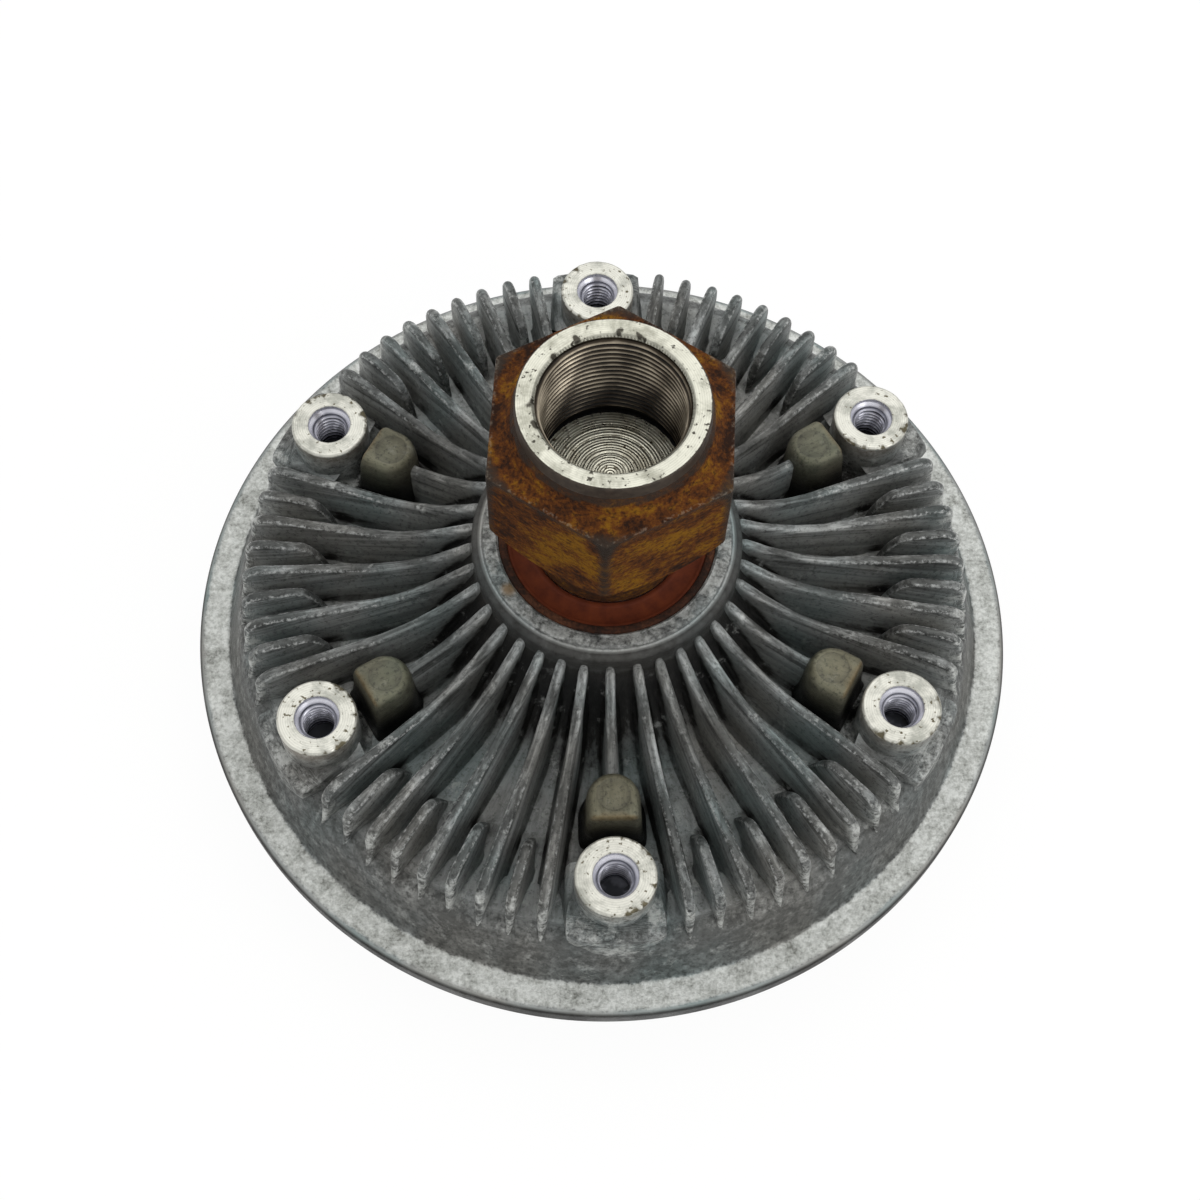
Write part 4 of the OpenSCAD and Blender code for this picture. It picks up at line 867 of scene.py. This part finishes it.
# The neck keeps thin rust over dark steel, a painted shade under the hexagon.
hub.append((points, quads, RUST, {"depth": np.repeat(np.where(neck[:, 0] > 13, 0.45, 0.2), SOCKET_STEPS)}))
finishes = [rusty_hub, turned_steel, cut_thread, collar_dark, socket_floor]
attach(piece("hub_forging", hub, finishes, "hub_shaft", sharp=30), "hub")

# %% [markdown]
# ## Bearing ring and seal
# Only the outer ring's face and the red seal show. Both are lathe shapes with the small bevels and the lip
# that the ground and the moulded piece have.

# %% Bearing face
RING_STEPS = 180
outer_ring = [
    (20.05, 50.4), (21.67, 50.4), (21.67, 48.6), (22.9, Z_SEAT), (23.5, 49.0), (23.5, 63.8), (23.3, 64.2),
    (22.9, Z_BEARING), (21.95, Z_BEARING), (21.75, 64.25), (21.67, 64.0), (21.67, 62.4), (20.05, 62.4),
    (20.05, 59.3), (21.0, 58.3), (21.55, 56.4), (21.0, 54.5), (20.05, 53.5),
]
points, quads = lathe(outer_ring, RING_STEPS, wrap=True)
ring = [(points, quads[:, ::-1], 0, {"depth": 0.8})]
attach(piece("bearing_outer", ring, [rusty_ring], "bearing_outer_ring"), "clutch_case")
seal = [
    (16.05, 62.4), (16.05, 63.8), (16.3, 63.98), (16.9, 64.0), (17.2, 63.85), (17.5, 63.72), (19.2, 63.72),
    (20.6, 63.72), (20.85, 63.85), (21.1, 64.0), (21.5, 64.0), (21.65, 63.85), (21.65, 62.4),
]
points, quads = lathe(seal, RING_STEPS, wrap=True)
lip = [(points, quads, 0, {})]
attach(piece("red_seal", lip, [seal_red], "rear_bearing_seal"), "clutch_case")

# %% [markdown]
# ## The bimetal coil
# A spiral strip on the front senses the air's heat and turns the valve. Its outer end sits in a lug of the
# cover and its inner end in the valve shaft's slot, so it winds up as the valve turns. A small rounded
# rectangle is carried along one path, tang, spiral and tail.

# %% Coil
COIL_IN, COIL_PITCH, COIL_HALF, COIL_LOW, COIL_HIGH, SOFT = 5.2, 2.5, 0.45, 2.8, 9.8, 0.12
sweep = np.linspace(0.2, 8 * np.pi - 0.07, 300)
spiral_r = COIL_IN + COIL_PITCH * sweep / (2 * np.pi)
path = np.concatenate([
    np.stack([np.linspace(-2.55, 4.1, 14), np.zeros(14)], 1), arc(4.2, 1.0, 1.0, -85, -5, 7),
    np.stack([spiral_r * np.cos(sweep), spiral_r * np.sin(sweep)], 1), arc(16.2, -1.0, 1.0, 175, 95, 7),
    np.stack([np.linspace(16.3, 18.35, 8), np.zeros(8)], 1),
])
along = np.gradient(path, axis=0)
normal = np.stack([-along[:, 1], along[:, 0]], 1) / np.linalg.norm(along, axis=1)[:, None]
section = np.array([
    (-COIL_HALF, COIL_LOW + SOFT), (-COIL_HALF, COIL_HIGH - SOFT), (SOFT - COIL_HALF, COIL_HIGH),
    (COIL_HALF - SOFT, COIL_HIGH), (COIL_HALF, COIL_HIGH - SOFT), (COIL_HALF, COIL_LOW + SOFT),
    (COIL_HALF - SOFT, COIL_LOW), (SOFT - COIL_HALF, COIL_LOW),
])
sides = path[:, None] + section[None, :, :1] * normal[:, None]
heights = np.broadcast_to(section[None, :, 1:], sides.shape[:2] + (1,))
strip = np.concatenate([sides, heights], 2)
caps = [np.broadcast_to(strip[end].mean(0), (1, len(section), 3)) for end in (0, -1)]
points, quads = grid(np.concatenate([caps[0], strip, caps[1]]), False, True)
coil = piece("bimetal_spiral", [(points, quads, 0, {})], [bimetal], "bimetal_coil")
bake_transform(coil)

# %% [markdown]
# ## Pieces that keep their solids
# The rotor, valve, rings and balls are hidden or seen only from the front. Their solids are already the
# right shape, so they take a finish and nothing else.

# %% Finishes on the other solids
plated = [
    "return_plug", "pump_wiper", "rotor_retaining_ring", "valve_plate", "valve_plate_screws", "valve_shaft",
    "valve_arm", "valve_shaft_clip",
]
solid_finish = {name: zinc_steel for name in plated} | {
    "front_cover": cover_cast, "cover_seal_ring": seal_black, "valve_shaft_seal": seal_black,
    "rotor_disc": rotor_turned, "bearing_inner_ring": ring_steel, "bearing_balls": ball_steel,
    "bearing_cage": cage_polymer, "front_bearing_seal": seal_red,
}
for name, finish in solid_finish.items():
    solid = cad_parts[name]
    solid.data.materials.clear()
    solid.data.materials.append(finish)
print("solids with a finish:", len(solid_finish))

# %% [markdown]
# ## Floor, light and camera
# The clutch lies on a plain pale floor in a white room, whose even light does most of the work. The floor
# shows white to the camera and in reflections, and keeps a shadow, because a tenth of it stays paper. Two
# soft lamps give the crests and threads their shine. The camera stands where the photograph's did: its
# place was worked out from the circles of the six bosses, the rim and the collar.

# %% Floor and room
FLOOR_HALF, FLOOR_Z, FLOOR_GLOW, ROOM_LIGHT = 3.0, -0.4 * MM, 0.9, 0.82
mesh = bpy.data.meshes.new("studio_floor")
corners = [(x * FLOOR_HALF, y * FLOOR_HALF, FLOOR_Z) for x, y in ((-1, -1), (1, -1), (1, 1), (-1, 1))]
mesh.from_pydata(corners, [], [(0, 1, 2, 3)])
studio_floor = bpy.data.objects.new("studio_floor", mesh)
scene.collection.objects.link(studio_floor)
material = bpy.data.materials.new("white_paper_floor")
material.use_nodes = True
tree = material.node_tree
tree.nodes.remove(tree.nodes["Principled BSDF"])
sight = add(tree, "LightPath").outputs
seen = add(tree, "Math", [sight["Is Camera Ray"], sight["Is Glossy Ray"]], operation="MAXIMUM")
seen = add(tree, "Math", [seen, sight["Is Transmission Ray"]], operation="MAXIMUM")
seen = add(tree, "Math", [seen], operation="MULTIPLY", in1=FLOOR_GLOW)
paper = add(tree, "BsdfDiffuse", Color=linear("#c8c8c6"))
glow = add(tree, "Emission", Color=(1, 1, 1, 1), Strength=1.05)
floor_shader = add(tree, "MixShader", [seen, paper, glow])
tree.links.new(out(floor_shader), tree.nodes["Material Output"].inputs["Surface"])
mesh.materials.append(material)

world = bpy.data.worlds.new("soft_room")
world.use_nodes = True
tree = world.node_tree
background = tree.nodes["Background"]
background.inputs["Color"].default_value = (1, 1, 1, 1)
sight = add(tree, "LightPath").outputs
seen = add(tree, "Math", [sight["Is Camera Ray"], sight["Is Transmission Ray"]], operation="MAXIMUM")
bright = add(tree, "MapRange", [seen], To_Min=ROOM_LIGHT)
tree.links.new(out(bright), background.inputs["Strength"])
scene.world = world
print("room light:", ROOM_LIGHT)

# %% Lamps and camera
lamps = (("overhead_softbox", (0.05, 0.42, 1.0), 0.9, 2.6), ("window_side", (0.65, -0.5, 0.65), 0.6, 2.0))
for name, place, size, power in lamps:
    lamp = bpy.data.lights.new(name, "AREA")
    lamp.energy, lamp.size = power, size
    stand = bpy.data.objects.new(name, lamp)
    stand.location = place
    stand.rotation_euler = (-stand.location).to_track_quat("-Z", "Y").to_euler()
    scene.collection.objects.link(stand)

eye, aim = np.array([-13.11, -179.11, 410.39]), np.array([-1.58, -9.63, 51.7])
roll = math.radians(-2.583)
ahead = (aim - eye) / np.linalg.norm(aim - eye)
side = np.cross(ahead, [0, 0, 1.0])
side /= np.linalg.norm(side)
right = math.cos(roll) * side + math.sin(roll) * np.cross(ahead, side)
up = -np.cross(ahead, right)
axes = [(right[i], up[i], -ahead[i], eye[i] * MM) for i in range(3)]
lens = bpy.data.cameras.new("photo_camera")
lens.sensor_width, lens.lens, lens.clip_start = 36.0, 54.355, 0.01
camera = bpy.data.objects.new("photo_camera", lens)
camera.matrix_world = Matrix(axes + [(0, 0, 0, 1)])
scene.collection.objects.link(camera)
scene.camera = camera
scene.view_settings.view_transform = "Standard"
print("camera at", np.round(eye * MM, 4).tolist())
